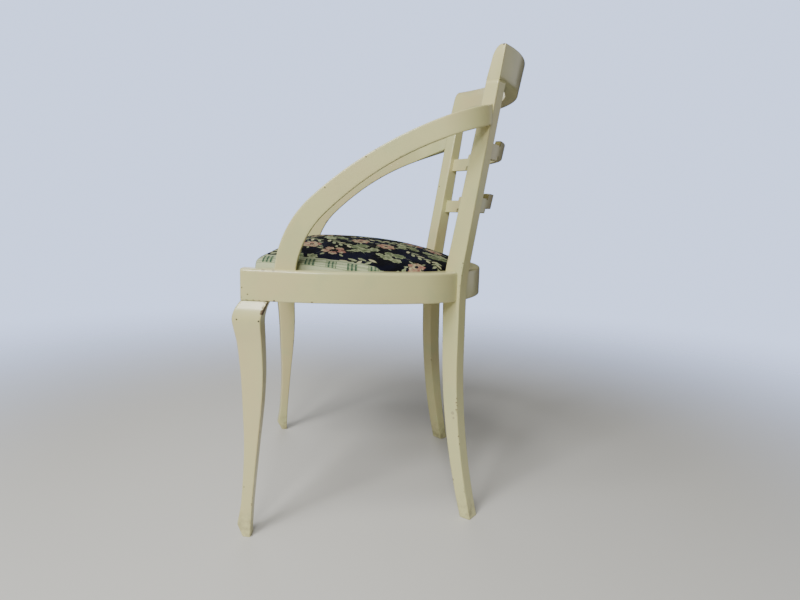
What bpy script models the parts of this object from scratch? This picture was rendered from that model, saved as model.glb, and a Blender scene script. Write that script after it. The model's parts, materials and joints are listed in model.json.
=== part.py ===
"""Open armchair with a horseshoe seat frame, sweeping arms and a drop-in upholstered seat.

Metres, +Z up. The chair faces -Y and the sitter's left is +X. The origin is on the floor, below the
middle of the chair. Every piece of one side is modelled at +X and mirrored for the other side.
"""
import math

import bmesh
import bpy
from mathutils import Matrix, Vector

CLEARANCE = 0.0003           # gap between pieces that touch

# Seat frame, in plan three tangent arcs a side: back, rear corner, side
SEAT_HEIGHT = 0.440          # top of the frame at its front
SEAT_FALL = 0.0143           # fall of the frame towards the back, for each metre
FRAME_HEIGHT = 0.0505
FRAME_THICKNESS = 0.028
FRAME_BACK_Y = 0.1844        # outer face at the middle of the back
FRAME_FRONT_Y = -0.2380
BACK_RADIUS = 0.281
BACK_TURN = math.radians(39.5)
CORNER_RADIUS = 0.156
SIDE_TURN = math.radians(72.0)
SIDE_RADIUS = 0.550
FRAME_TOP_ROUND = 0.004
EDGE_ROUND = 0.0012
FRONT_RAIL_THICKNESS = 0.028
TENON_LENGTH = 0.011
TENON_THICKNESS = 0.010
TENON_HEIGHT = 0.028
TENON_RISE = 0.006           # shoulder below a tenon

# Rear posts, one piece from the floor to the crest
POST_TURN = math.radians(38.4)
POST_WIDTH = 0.0262          # along the frame's curve
POST_PROUD = 0.0050          # how far a post stands out of the frame
POST_FOOT_DEPTH = 0.0205
POST_TOP_DEPTH = 0.0235
POST_RISE = 0.3062           # posts above the top of the frame at its front
POST_TOP = SEAT_HEIGHT + POST_RISE
POST_ROUND = 0.0018
SABRE_SWEEP = 0.0385         # how far a foot is swept out
SABRE_DROP = 0.150           # where the sweep starts below the top of the frame
SABRE_START = SEAT_HEIGHT - SABRE_DROP
RAKE = 0.1510                # lean of the back for each metre of height
RAKE_DROP = 0.055            # where the lean starts below the top of the frame
RAKE_START = SEAT_HEIGHT - RAKE_DROP
RAKE_BLEND = 0.060
RAKE_DRIFT = 0.0383          # lean towards the middle, for each metre of height
DRIFT_RISE = 0.006           # where that lean starts above the frame

# Front legs
LEG_ROUND = 0.0022
LEG_INWARD_TOP = 0.030       # thickness of the leg under the frame
LEG_DEPTH_TOP = 0.0455
LEG_TOP_TAPERS = (0.0030, 0.0050)
# share of the leg's height, then front, rear and outer face, measured from the frame's corner
# (forwards, backwards and outwards), thickness, and how far front and rear face run in behind the outer
LEG_STATIONS = (
    (0.049, 0.0045, 0.0190, 0.0130, 0.0164, 0.0012, 0.0010),
    (0.146, -0.0009, 0.0205, 0.0090, 0.0168, 0.0010, 0.0012),
    (0.370, -0.0042, 0.0272, 0.0030, 0.0195, 0.0008, 0.0017),
    (0.560, -0.0018, 0.0345, 0.0010, 0.0225, 0.0008, 0.0023),
    (0.695, 0.0004, 0.0376, 0.0020, 0.0250, 0.0008, 0.0028),
    (0.826, 0.0048, 0.0370, 0.0052, 0.0280, 0.0010, 0.0028),
    (0.895, 0.0095, 0.0366, 0.0090, 0.0300, 0.0016, 0.0028),
    (0.930, 0.0110, 0.0372, 0.0100, 0.0308, 0.0020, 0.0030),
    (0.966, 0.0075, 0.0405, 0.0068, 0.0305, 0.0025, 0.0037),
)
TOE_FRONT = -0.0055          # front and outer face of the bevelled toe on the floor
TOE_OUT = 0.0155
LEG_RINGS = 22

# Arms: boards that rise from the frame in two arcs and bend round to the posts
ARM_BASE_WIDTH = 0.034
ARM_MIDDLE_WIDTH = 0.0302
ARM_END_WIDTH = 0.0333
ARM_THICKNESS = 0.021
ARM_INSET = 0.007            # from the frame's outer face
ARM_BASE_Y = -0.1676         # middle of the arm on the frame
ARM_START_ANGLE = math.radians(84.0)
ARM_BREAK_ANGLE = math.radians(44.0)
ARM_FRONT_RADIUS = 0.165
ARM_TOP_RADIUS = 0.586
ARM_ROUND = 0.0020
ARM_RINGS = 30

# Crest and back slats, arcs through the middles of the posts' outer faces
CREST_RADIUS = 0.338
SLAT_RADIUS = 0.325
CREST_HEIGHT = 0.055
CREST_TOP = POST_TOP + CREST_HEIGHT
CREST_TOP_THICKNESS = 0.0065
CREST_TAPER = 0.0032         # loss of thickness below the rounded top
CREST_ROUND_HEIGHT = 0.024
BACK_STATIONS = 34
LOWER_SLAT_RISE = 0.0945     # undersides of the slats above the top of the frame
UPPER_SLAT_RISE = 0.1850
SLAT_BOTTOMS = (SEAT_HEIGHT + LOWER_SLAT_RISE, SEAT_HEIGHT + UPPER_SLAT_RISE)
SLAT_HEIGHT = 0.0262
SLAT_STEP = 0.0083           # how much higher the raised middle lies than the ends
SLAT_RAISED_REACH = 0.137    # half the length of the raised middle
SLAT_THICKNESS = 0.010
SLAT_SETBACK = 0.005         # from the posts' outer faces
SLAT_HOUSING = 0.006         # how deep the slats are let into the posts
SLAT_ROUND = 0.0010

# Drop-in seat
SEAT_GAP = 0.001             # between the seat and the frame's inner face
SEAT_FRONT_SETBACK = 0.019   # front edge of the seat from the front of the frame
BOARD_THICKNESS = 0.009
SEAT_RECESS = 0.012          # top of the corner blocks and the front rail below the top of the frame
PAD_CROWN = 0.047            # crown above the frame
PAD_FRONT_RISE = 0.010       # height of the pad's edge above the frame
PAD_REAR_RISE = 0.001
PAD_PEAK_Y = -0.0906
PAD_FULLNESS = 2.2
PAD_RINGS = 9
SEAT_STATIONS = 40

# Corner blocks and their screws
BLOCK_HEIGHT = 0.028
BLOCK_REACH = 0.048
BLOCK_WING = 0.013
REAR_BLOCK_THICKNESS = 0.020
REAR_BLOCK_TURNS = (math.radians(14.0), math.radians(64.0))
SCREW_SHANK = 0.0020
SCREW_HEAD = 0.0042
SCREW_HEAD_DEPTH = 0.0026
SCREW_BITE = 0.016           # how far a screw goes into the rail
SCREW_SEAT = 0.011           # from the rail's face to the underside of the head

# Dowels
DOWEL_RADIUS = 0.004
DOWEL_REACH = 0.014          # into each of the two pieces
LEG_DOWEL_RADIUS = 0.005
LEG_DOWEL_BACK = 0.028       # behind the frame's corner
ROUND_SIDES = 14

UP = Vector((0.0, 0.0, 1.0))
LEFT, RIGHT = 1, -1
SIDES = ((LEFT, "left"), (RIGHT, "right"))


# Plan curve of the seat frame

def normal_at(turn):
    """Outward direction where the plan curve's tangent has turned by this angle from +X."""
    return Vector((math.sin(turn), math.cos(turn), 0.0))


def tangent_at(turn):
    """Direction of the plan curve, from the back towards the front."""
    return Vector((math.cos(turn), -math.sin(turn), 0.0))


def frame_curve(turn, inset=0.0):
    """Point of the frame's outer curve, moved in by inset; a negative turn is on the other side."""
    sign = -1.0 if turn < 0.0 else 1.0
    turn = abs(turn)
    point = Vector((0.0, FRAME_BACK_Y, 0.0))
    arcs = ((0.0, BACK_TURN, BACK_RADIUS), (BACK_TURN, SIDE_TURN, CORNER_RADIUS),
            (SIDE_TURN, math.pi, SIDE_RADIUS))
    for start, end, radius in arcs:
        stop = min(turn, end)
        if stop > start:
            point.x += radius * (math.sin(stop) - math.sin(start))
            point.y -= radius * (math.cos(start) - math.cos(stop))
    point -= normal_at(turn) * inset
    point.x *= sign
    return point


def front_turn(y, inset=0.0):
    """Turn at which the side arc, moved in by inset, reaches this y."""
    side_end = frame_curve(SIDE_TURN, inset)
    return math.acos(math.cos(SIDE_TURN) - (side_end.y - y) / (SIDE_RADIUS - inset))


def frame_top(y):
    return SEAT_HEIGHT - SEAT_FALL * (y - FRAME_FRONT_Y)


def frame_underside(y):
    return frame_top(y) - FRAME_HEIGHT


def spread(start, end, count):
    return [start + (end - start) * i / (count - 1) for i in range(count)]


# Rear post as a set of offsets along its own axes

POST_NORMAL = normal_at(POST_TURN)
POST_TANGENT = tangent_at(POST_TURN)
POST_AT_FRAME = frame_curve(POST_TURN) + POST_NORMAL * POST_PROUD
POST_FRAME_DEPTH = FRAME_THICKNESS + POST_PROUD
DRIFT_START = frame_top(POST_AT_FRAME.y) + DRIFT_RISE
DRIFT_TILT = math.atan(RAKE_DRIFT)


def post_outer(z):
    """Middle of the post's outer face at height z."""
    sweep = SABRE_SWEEP * max(0.0, (SABRE_START - z) / SABRE_START) ** 2
    rise = max(0.0, z - RAKE_START)
    if rise < RAKE_BLEND:
        sweep += RAKE * rise * rise / (2.0 * RAKE_BLEND)
    else:
        sweep += RAKE * (rise - RAKE_BLEND / 2.0)
    drift = RAKE_DRIFT * max(0.0, z - DRIFT_START)
    point = POST_AT_FRAME + POST_NORMAL * sweep - POST_TANGENT * drift
    return Vector((point.x, point.y, z))


def post_depth(z):
    """Depth of the post across the frame's curve."""
    seat = frame_underside(POST_AT_FRAME.y)
    if z < seat:
        return POST_FOOT_DEPTH + (POST_FRAME_DEPTH - POST_FOOT_DEPTH) * z / seat
    top = frame_top(POST_AT_FRAME.y)
    share = max(0.0, z - top) / (POST_TOP - top)
    return POST_FRAME_DEPTH + (POST_TOP_DEPTH - POST_FRAME_DEPTH) * share


def post_side_plane(z, along, gap=0.0):
    """Point and normal of the post's front (along=1) or rear (along=-1) side, moved out by gap."""
    normal = POST_TANGENT.copy()
    if z > DRIFT_START:
        normal = (POST_TANGENT + UP * RAKE_DRIFT).normalized()
    normal *= along
    point = post_outer(z) + POST_TANGENT * along * POST_WIDTH / 2.0
    return point + normal * gap, normal


def back_curve(angle, z, radius, inset):
    """Point at height z of an arc through the posts' outer faces, moved in."""
    outer = post_outer(z)
    centre_y = outer.y - math.sqrt(radius ** 2 - outer.x ** 2)
    radius -= inset
    return Vector((radius * math.sin(angle), centre_y + radius * math.cos(angle), z))


def back_reach(z, radius, extra):
    """Angle from the middle of such an arc to the post, and this much beyond."""
    return math.asin(post_outer(z).x / radius) + extra


# Mesh helpers

def loft(rings):
    """Closed solid through rings of points, with flat ends."""
    mesh = bmesh.new()
    rows = [[mesh.verts.new(point) for point in ring] for ring in rings]
    count = len(rows[0])
    for lower, upper in zip(rows, rows[1:]):
        for i in range(count):
            j = (i + 1) % count
            mesh.faces.new((lower[i], lower[j], upper[j], upper[i]))
    mesh.faces.new(rows[0])
    mesh.faces.new(rows[-1])
    bmesh.ops.recalc_face_normals(mesh, faces=mesh.faces)
    return mesh


def trim(mesh, point, normal):
    """Cuts away what lies on the normal's side of a plane and closes the cut."""
    geometry = mesh.verts[:] + mesh.edges[:] + mesh.faces[:]
    cut = bmesh.ops.bisect_plane(mesh, geom=geometry, dist=1e-7, plane_co=point, plane_no=normal,
                                 clear_outer=True)
    rim = [item for item in cut["geom_cut"] if isinstance(item, bmesh.types.BMEdge)]
    bmesh.ops.contextual_create(mesh, geom=rim)
    bmesh.ops.recalc_face_normals(mesh, faces=mesh.faces)


def rounded_outline(low_u, high_u, low_v, high_v, radii, steps=2):
    """Rectangle in u and v with one radius a corner: low-low, high-low, high-high, low-high."""
    corners = ((low_u, low_v, 1, 1, math.pi), (high_u, low_v, -1, 1, 1.5 * math.pi),
               (high_u, high_v, -1, -1, 0.0), (low_u, high_v, 1, -1, 0.5 * math.pi))
    outline = []
    for (u, v, towards_u, towards_v, start), radius in zip(corners, radii):
        centre_u = u + towards_u * radius
        centre_v = v + towards_v * radius
        for step in range(steps + 1):
            angle = start + 0.5 * math.pi * step / steps
            outline.append((centre_u + radius * math.cos(angle), centre_v + radius * math.sin(angle)))
    return outline


def box_along(start, end, across, width, height_axis, low, high):
    """Box from start to end, as wide as width along across, from low to high along height_axis."""
    rings = []
    for centre in (start, end):
        rings.append([centre + across * u + height_axis * v
                      for u, v in ((-width / 2, low), (width / 2, low), (width / 2, high), (-width / 2, high))])
    return loft(rings)


def turned(point, axis, profile):
    """Solid turned round an axis from (distance, radius) pairs."""
    side = axis.orthogonal().normalized()
    other = axis.cross(side)
    rings = []
    for distance, radius in profile:
        ring = []
        for i in range(ROUND_SIDES):
            angle = 2.0 * math.pi * i / ROUND_SIDES
            ring.append(point + axis * distance + (side * math.cos(angle) + other * math.sin(angle)) * radius)
        rings.append(ring)
    return loft(rings)


def smooth_table(rows, share):
    """Row of a table between its given rows, on a smooth curve through them."""
    last = len(rows) - 1
    index = max(i for i in range(last) if rows[i][0] <= share or i == 0)
    x0, x1 = rows[index][0], rows[index + 1][0]
    t = (share - x0) / (x1 - x0)
    result = []
    for column in range(1, len(rows[0])):
        def slope(i):
            before, after = rows[max(i - 1, 0)], rows[min(i + 1, last)]
            return (after[column] - before[column]) / (after[0] - before[0])
        y0, y1 = rows[index][column], rows[index + 1][column]
        m0, m1 = slope(index) * (x1 - x0), slope(index + 1) * (x1 - x0)
        result.append((2 * t ** 3 - 3 * t ** 2 + 1) * y0 + (t ** 3 - 2 * t ** 2 + t) * m0
                      + (3 * t ** 2 - 2 * t ** 3) * y1 + (t ** 3 - t ** 2) * m1)
    return result


# Scene helpers

def clear_scene():
    for item in list(bpy.data.objects):
        bpy.data.objects.remove(item, do_unlink=True)


def material(name, colour, roughness, metallic=0.0):
    made = bpy.data.materials.new(name)
    made.use_nodes = True
    shader = made.node_tree.nodes["Principled BSDF"]
    shader.inputs["Base Color"].default_value = (*colour, 1.0)
    shader.inputs["Roughness"].default_value = roughness
    shader.inputs["Metallic"].default_value = metallic
    return made


def add_object(name, mesh, side, finish):
    if side == RIGHT:
        bmesh.ops.transform(mesh, matrix=Matrix.Scale(-1.0, 4, Vector((1.0, 0.0, 0.0))), verts=mesh.verts)
        bmesh.ops.reverse_faces(mesh, faces=mesh.faces)
    data = bpy.data.meshes.new(name)
    mesh.to_mesh(data)
    mesh.free()
    data.shade_smooth()
    data.set_sharp_from_angle(angle=math.radians(32.0))
    item = bpy.data.objects.new(name, data)
    bpy.context.collection.objects.link(item)
    if finish:
        colour, roughness, metallic = finish
        data.materials.append(material(name, colour, roughness, metallic))
    return item


def reshape(item, tool_mesh, name, side, operation="DIFFERENCE"):
    """Cuts a tool shape from an object, or joins it on."""
    tool = add_object(f"{item.name}_{name}", tool_mesh, side, None)
    tool.hide_render = True
    tool.display_type = "WIRE"
    step = item.modifiers.new(name, "BOOLEAN")
    step.operation = operation
    step.solver = "EXACT"
    step.object = tool


def soften(item, width, angle=math.radians(40.0)):
    step = item.modifiers.new("eased_edges", "BEVEL")
    step.width = width
    step.segments = 1
    step.limit_method = "ANGLE"
    step.angle_limit = angle


PAINT = ((0.56, 0.53, 0.38), 0.42, 0.0)
BARE_WOOD = ((0.33, 0.20, 0.10), 0.75, 0.0)
STEEL = ((0.45, 0.43, 0.40), 0.40, 0.9)
FABRIC = ((0.035, 0.040, 0.075), 0.90, 0.0)


# Seat frame

def frame_outline(thickness):
    """Section of a rail: inset from the outer face and height above the underside."""
    return rounded_outline(0.0, thickness, 0.0, FRAME_HEIGHT,
                           (EDGE_ROUND, EDGE_ROUND, EDGE_ROUND, FRAME_TOP_ROUND), steps=3)


def frame_sweep(turns, outline):
    rings = []
    for turn in turns:
        ring = []
        for inset, rise in outline:
            point = frame_curve(turn, inset)
            ring.append(Vector((point.x, point.y, frame_underside(point.y) + rise)))
        rings.append(ring)
    return loft(rings)


def post_tenon(along, grow):
    """Tenon of a rail in the post's front (along=1) or rear side, or its mortise if grown."""
    face, normal = post_side_plane(frame_underside(POST_AT_FRAME.y), along, CLEARANCE)
    centre = face - POST_NORMAL * (POST_PROUD + FRAME_THICKNESS / 2.0)
    low = frame_underside(centre.y) + TENON_RISE - grow
    high = frame_underside(centre.y) + TENON_RISE + TENON_HEIGHT + grow
    inner = centre - normal * (TENON_LENGTH + CLEARANCE + grow)
    outer = centre + normal * TENON_THICKNESS
    inner.z = outer.z = 0.0
    return box_along(inner, outer, POST_NORMAL, TENON_THICKNESS + 2.0 * grow, UP, low, high)


def front_tenon(grow):
    """Tenon of the front rail in the side rail, or its mortise if grown."""
    middle_y = FRAME_FRONT_Y + FRONT_RAIL_THICKNESS / 2.0
    turn = front_turn(middle_y, FRAME_THICKNESS)
    face = frame_curve(turn, FRAME_THICKNESS)
    low = frame_underside(middle_y) + TENON_RISE - grow
    high = frame_underside(middle_y) + TENON_RISE + TENON_HEIGHT + grow
    inner = Vector((face.x - TENON_THICKNESS, middle_y, 0.0))
    outer = Vector((face.x + TENON_LENGTH + grow, middle_y, 0.0))
    return box_along(inner, outer, Vector((0.0, 1.0, 0.0)), TENON_THICKNESS + 2.0 * grow, UP, low, high)


def side_rail(side, word):
    first = POST_TURN - math.radians(4.0)
    last = front_turn(FRAME_FRONT_Y) + math.radians(2.0)
    turns = spread(first, SIDE_TURN, 12) + spread(SIDE_TURN, last, 15)[1:]
    mesh = frame_sweep(turns, frame_outline(FRAME_THICKNESS))
    trim(mesh, Vector((0.0, FRAME_FRONT_Y, 0.0)), Vector((0.0, -1.0, 0.0)))
    face, normal = post_side_plane(frame_underside(POST_AT_FRAME.y), 1, CLEARANCE)
    trim(mesh, face, -normal)
    rail = add_object(f"side_rail_{word}", mesh, side, PAINT)
    reshape(rail, post_tenon(1, 0.0), "tenon", side, "UNION")
    reshape(rail, front_tenon(CLEARANCE), "front_mortise", side)
    reshape(rail, leg_dowel(CLEARANCE), "leg_dowel_hole", side)
    reshape(rail, arm_base_dowel(CLEARANCE), "arm_dowel_hole", side)
    for number, screw in enumerate(front_screw_places()[1:] + rear_screw_places()[:1]):
        reshape(rail, screw_hole(*screw), f"screw_hole_{number}", side)
    return rail


def back_rail():
    reach = POST_TURN + math.radians(4.0)
    mesh = frame_sweep(spread(-reach, reach, 25), frame_outline(FRAME_THICKNESS))
    face, normal = post_side_plane(frame_underside(POST_AT_FRAME.y), -1, CLEARANCE)
    mirror = Vector((-1.0, 1.0, 1.0))
    trim(mesh, face, -normal)
    trim(mesh, face * mirror, -normal * mirror)
    rail = add_object("back_rail", mesh, LEFT, PAINT)
    for side, word in SIDES:
        reshape(rail, post_tenon(-1, 0.0), f"tenon_{word}", side, "UNION")
        reshape(rail, screw_hole(*rear_screw_places()[1]), f"screw_hole_{word}", side)
    return rail


def front_rail():
    """Rail across the front, low enough for the seat to rest on it."""
    outline = rounded_outline(0.0, FRONT_RAIL_THICKNESS, 0.0, FRAME_HEIGHT - SEAT_RECESS,
                              (EDGE_ROUND, EDGE_ROUND, EDGE_ROUND, FRAME_TOP_ROUND), steps=3)
    front = frame_curve(front_turn(FRAME_FRONT_Y, FRAME_THICKNESS), FRAME_THICKNESS)
    rear_y = FRAME_FRONT_Y + FRONT_RAIL_THICKNESS
    rear = frame_curve(front_turn(rear_y, FRAME_THICKNESS), FRAME_THICKNESS)
    reach = rear.x + FRAME_THICKNESS
    rings = []
    for x in (-reach, reach):
        rings.append([Vector((x, FRAME_FRONT_Y + inset, frame_underside(FRAME_FRONT_Y + inset) + rise))
                      for inset, rise in outline])
    mesh = loft(rings)
    chord = (rear - front).normalized()
    outwards = Vector((chord.y, -chord.x, 0.0))
    mirror = Vector((-1.0, 1.0, 1.0))
    end = front - outwards * CLEARANCE
    trim(mesh, end, outwards)
    trim(mesh, end * mirror, outwards * mirror)
    rail = add_object("front_rail", mesh, LEFT, PAINT)
    for side, word in SIDES:
        reshape(rail, front_tenon(0.0), f"tenon_{word}", side, "UNION")
        reshape(rail, screw_hole(*front_screw_places()[0]), f"screw_hole_{word}", side)
    return rail


# Rear posts

def post_ring(z):
    outer = post_outer(z)
    depth = post_depth(z)
    radii = (POST_ROUND,) * 4
    outline = rounded_outline(-POST_WIDTH / 2.0, POST_WIDTH / 2.0, -depth, 0.0, radii)
    return [outer + POST_TANGENT * u + POST_NORMAL * v for u, v in outline]


def rear_post(side, word):
    seat = frame_underside(POST_AT_FRAME.y)
    blend_end = RAKE_START + RAKE_BLEND
    heights = spread(0.0, SABRE_START, 11) + [seat, RAKE_START]
    heights += spread(RAKE_START, blend_end, 5)[1:] + [frame_top(POST_AT_FRAME.y), DRIFT_START, POST_TOP]
    mesh = loft([post_ring(z) for z in sorted(set(heights))])
    post = add_object(f"rear_post_{word}", mesh, side, PAINT)
    reshape(post, post_tenon(1, CLEARANCE), "side_mortise", side)
    reshape(post, post_tenon(-1, CLEARANCE), "back_mortise", side)
    reshape(post, arm_end_dowel(CLEARANCE), "arm_dowel_hole", side)
    reshape(post, crest_dowel(CLEARANCE), "crest_dowel_hole", side)
    for number, bottom in enumerate(SLAT_BOTTOMS):
        reshape(post, slat_housing(bottom), f"slat_housing_{number}", side)
    return post


# Front legs

def leg_axes():
    """Corner of the frame, and the leg's outward and forward directions."""
    turn = front_turn(FRAME_FRONT_Y)
    return frame_curve(turn), normal_at(turn), tangent_at(turn)


def leg_ring(share, front, rear, outer, thickness, front_taper, rear_taper):
    """Section of the leg, whose front and rear face run in towards its inner face."""
    corner, outward, forward = leg_axes()
    radii = (LEG_ROUND,) * 4
    outline = rounded_outline(outer - thickness, outer, -rear, front, radii)
    middle = (front - rear) / 2.0
    ring = []
    for u, v in outline:
        inwards = (outer - u) / thickness
        v += (-front_taper if v > middle else rear_taper) * inwards
        point = corner + outward * u + forward * v
        point.z = share * (frame_underside(point.y) - CLEARANCE)
        ring.append(point)
    return ring


def front_leg(side, word):
    top = (1.0, 0.0, LEG_DEPTH_TOP, 0.0, LEG_INWARD_TOP, *LEG_TOP_TAPERS)
    stations = LEG_STATIONS + (top,)
    toe = stations[0]
    rings = [leg_ring(0.0, TOE_FRONT, toe[2], TOE_OUT, *toe[4:])]
    for share in spread(toe[0], 1.0, LEG_RINGS):
        rings.append(leg_ring(share, *smooth_table(stations, share)))
    leg = add_object(f"front_leg_{word}", loft(rings), side, PAINT)
    reshape(leg, leg_dowel(CLEARANCE), "dowel_hole", side)
    return leg


# Arms

def arm_plan(distance):
    """Outer face of the arm in plan, by the distance from its base towards the post, and its turn."""
    base = frame_curve(front_turn(ARM_BASE_Y))
    side_x = base.x - ARM_INSET
    end = arm_end_corner()
    bend = (side_x - end.x) / (1.0 - math.sin(POST_TURN))
    straight = end.y - bend * math.cos(POST_TURN) - ARM_BASE_Y
    turn = 0.5 * math.pi
    if distance <= straight:
        return Vector((side_x, ARM_BASE_Y + distance, 0.0)), turn
    turn -= (distance - straight) / bend
    centre = Vector((side_x - bend, ARM_BASE_Y + straight, 0.0))
    return centre + normal_at(turn) * bend, turn


def arm_end_height():
    """Height of the arm's middle at the post, from its two arcs."""
    rise = ARM_FRONT_RADIUS * (math.cos(ARM_BREAK_ANGLE) - math.cos(ARM_START_ANGLE))
    run = ARM_FRONT_RADIUS * (math.sin(ARM_START_ANGLE) - math.sin(ARM_BREAK_ANGLE))
    base_z = frame_top(ARM_BASE_Y)
    guess = base_z + rise
    for _ in range(8):
        left = arm_length_to(guess) - run
        end_angle = math.asin(max(0.0, math.sin(ARM_BREAK_ANGLE) - left / ARM_TOP_RADIUS))
        guess = base_z + rise + ARM_TOP_RADIUS * (math.cos(end_angle) - math.cos(ARM_BREAK_ANGLE))
    return guess


def arm_length_to(z):
    """Unrolled plan length from the arm's base to the post's front side at height z."""
    base = frame_curve(front_turn(ARM_BASE_Y))
    end = post_outer(z) + POST_TANGENT * POST_WIDTH / 2.0
    bend = (base.x - ARM_INSET - end.x) / (1.0 - math.sin(POST_TURN))
    straight = end.y - bend * math.cos(POST_TURN) - ARM_BASE_Y
    return straight + bend * (0.5 * math.pi - POST_TURN)


def arm_end_corner():
    """Outer corner of the post's front side where the arm meets it."""
    return post_outer(arm_end_height()) + POST_TANGENT * POST_WIDTH / 2.0


def arm_width(share):
    """Width of the arm, waisted between its two ends."""
    waist = math.sin(math.pi * share) ** 2
    straight = ARM_BASE_WIDTH + (ARM_END_WIDTH - ARM_BASE_WIDTH) * share
    return straight + (ARM_MIDDLE_WIDTH - (ARM_BASE_WIDTH + ARM_END_WIDTH) / 2.0) * waist


def arm_path():
    """Places along the arm as (plan distance, height, angle above level)."""
    path = []
    base_z = frame_top(ARM_BASE_Y)
    back_up = ARM_BASE_WIDTH / 2.0
    path.append((-back_up * math.cos(ARM_START_ANGLE), base_z - back_up * math.sin(ARM_START_ANGLE),
                 ARM_START_ANGLE))
    front_steps = ARM_RINGS // 3
    for angle in spread(ARM_START_ANGLE, ARM_BREAK_ANGLE, front_steps):
        path.append((ARM_FRONT_RADIUS * (math.sin(ARM_START_ANGLE) - math.sin(angle)),
                     base_z + ARM_FRONT_RADIUS * (math.cos(angle) - math.cos(ARM_START_ANGLE)), angle))
    run, rise = path[-1][0], path[-1][1]
    reach = arm_length_to(arm_end_height()) + ARM_THICKNESS / 2.0
    last = math.asin(max(0.0, math.sin(ARM_BREAK_ANGLE) - (reach - run) / ARM_TOP_RADIUS))
    for angle in spread(ARM_BREAK_ANGLE, last, ARM_RINGS - front_steps)[1:]:
        path.append((run + ARM_TOP_RADIUS * (math.sin(ARM_BREAK_ANGLE) - math.sin(angle)),
                     rise + ARM_TOP_RADIUS * (math.cos(angle) - math.cos(ARM_BREAK_ANGLE)), angle))
    return path


def arm_mesh():
    radii = (ARM_ROUND,) * 4
    path = arm_path()
    reach = path[-1][0]
    rings = []
    for distance, height, angle in path:
        half = arm_width(max(0.0, distance / reach)) / 2.0
        ring = []
        for inset, offset in rounded_outline(0.0, ARM_THICKNESS, -half, half, radii):
            point, turn = arm_plan(distance - offset * math.sin(angle))
            point = point - normal_at(turn) * inset
            point.z = height + offset * math.cos(angle)
            ring.append(point)
        rings.append(ring)
    mesh = loft(rings)
    face, normal = post_side_plane(arm_end_height(), 1, CLEARANCE)
    trim(mesh, face, -normal)
    seat = Vector((0.0, ARM_BASE_Y, frame_top(ARM_BASE_Y) + CLEARANCE))
    trim(mesh, seat, Vector((0.0, -SEAT_FALL, -1.0)).normalized())
    return mesh


def arm(side, word):
    board = add_object(f"arm_{word}", arm_mesh(), side, PAINT)
    reshape(board, arm_base_dowel(CLEARANCE), "base_dowel_hole", side)
    reshape(board, arm_end_dowel(CLEARANCE), "end_dowel_hole", side)
    return board


# Crest rail and back slats

def crest_section():
    """Inset of the crest's faces from its outer face, by height above the posts."""
    height = CREST_TOP - POST_TOP
    straight = height - CREST_ROUND_HEIGHT
    shoulder = POST_TOP_DEPTH - CREST_TAPER
    section = [(0.0, CLEARANCE), (0.0, height - EDGE_ROUND), (EDGE_ROUND, height)]
    for step in range(6):
        angle = 0.5 * math.pi * (1.0 - step / 5.0)
        inset = CREST_TOP_THICKNESS + (shoulder - CREST_TOP_THICKNESS) * math.cos(angle)
        section.append((inset, straight + CREST_ROUND_HEIGHT * math.sin(angle)))
    section.append((POST_TOP_DEPTH, CLEARANCE))
    return section


def crest_rail():
    rings = []
    reach = back_reach(POST_TOP, CREST_RADIUS, math.radians(5.0))
    for angle in spread(-reach, reach, BACK_STATIONS):
        rings.append([back_curve(angle, POST_TOP + rise, CREST_RADIUS, inset)
                      for inset, rise in crest_section()])
    mesh = loft(rings)
    face, normal = post_side_plane(POST_TOP, 1)
    mirror = Vector((-1.0, 1.0, 1.0))
    trim(mesh, face, normal)
    trim(mesh, face * mirror, normal * mirror)
    crest = add_object("crest_rail", mesh, LEFT, PAINT)
    for side, word in SIDES:
        reshape(crest, crest_dowel(CLEARANCE), f"dowel_hole_{word}", side)
    return crest


def slat_mesh(bottom, grow, depth):
    """Curved slat with a raised middle, ending at depth inside the posts; grown for its housing."""
    top = bottom + SLAT_HEIGHT
    heights = (bottom - grow, bottom + SLAT_STEP - grow, top + grow, top + SLAT_STEP + grow)
    insets = (SLAT_SETBACK - grow, SLAT_SETBACK + SLAT_THICKNESS + grow)
    step_angle = math.asin(SLAT_RAISED_REACH / (SLAT_RADIUS - SLAT_SETBACK))
    reach = back_reach(bottom, SLAT_RADIUS, math.radians(3.0))
    angles = spread(-reach, -step_angle, 6) + spread(-step_angle, step_angle, 20)[1:-1]
    angles += spread(step_angle, reach, 6)
    raised = [abs(a) < step_angle and abs(b) <= step_angle or abs(b) < step_angle and abs(a) <= step_angle
              for a, b in zip(angles, angles[1:])]
    mesh = bmesh.new()
    points = {}

    def vertex(i, j, k):
        if (i, j, k) not in points:
            points[i, j, k] = mesh.verts.new(back_curve(angles[i], heights[j], SLAT_RADIUS, insets[k]))
        return points[i, j, k]

    def filled(i, j):
        return 0 <= i < len(raised) and (j == 1 or j == (2 if raised[i] else 0))

    for i in range(len(raised)):
        for j in range(3):
            if not filled(i, j):
                continue
            for k in range(2):
                mesh.faces.new((vertex(i, j, k), vertex(i + 1, j, k), vertex(i + 1, j + 1, k), vertex(i, j + 1, k)))
            walls = (((i, j), (i + 1, j), filled(i, j - 1)), ((i, j + 1), (i + 1, j + 1), filled(i, j + 1)),
                     ((i, j), (i, j + 1), filled(i - 1, j)), ((i + 1, j), (i + 1, j + 1), filled(i + 1, j)))
            for a, b, hidden in walls:
                if not hidden:
                    mesh.faces.new((vertex(*a, 0), vertex(*b, 0), vertex(*b, 1), vertex(*a, 1)))
    bmesh.ops.recalc_face_normals(mesh, faces=mesh.faces)
    mirror = Vector((-1.0, 1.0, 1.0))
    face, normal = post_side_plane(bottom, -1, -depth)
    trim(mesh, face, -normal)
    trim(mesh, face * mirror, -normal * mirror)
    return mesh


def slat_housing(bottom):
    return slat_mesh(bottom, CLEARANCE, SLAT_HOUSING + CLEARANCE)


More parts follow.
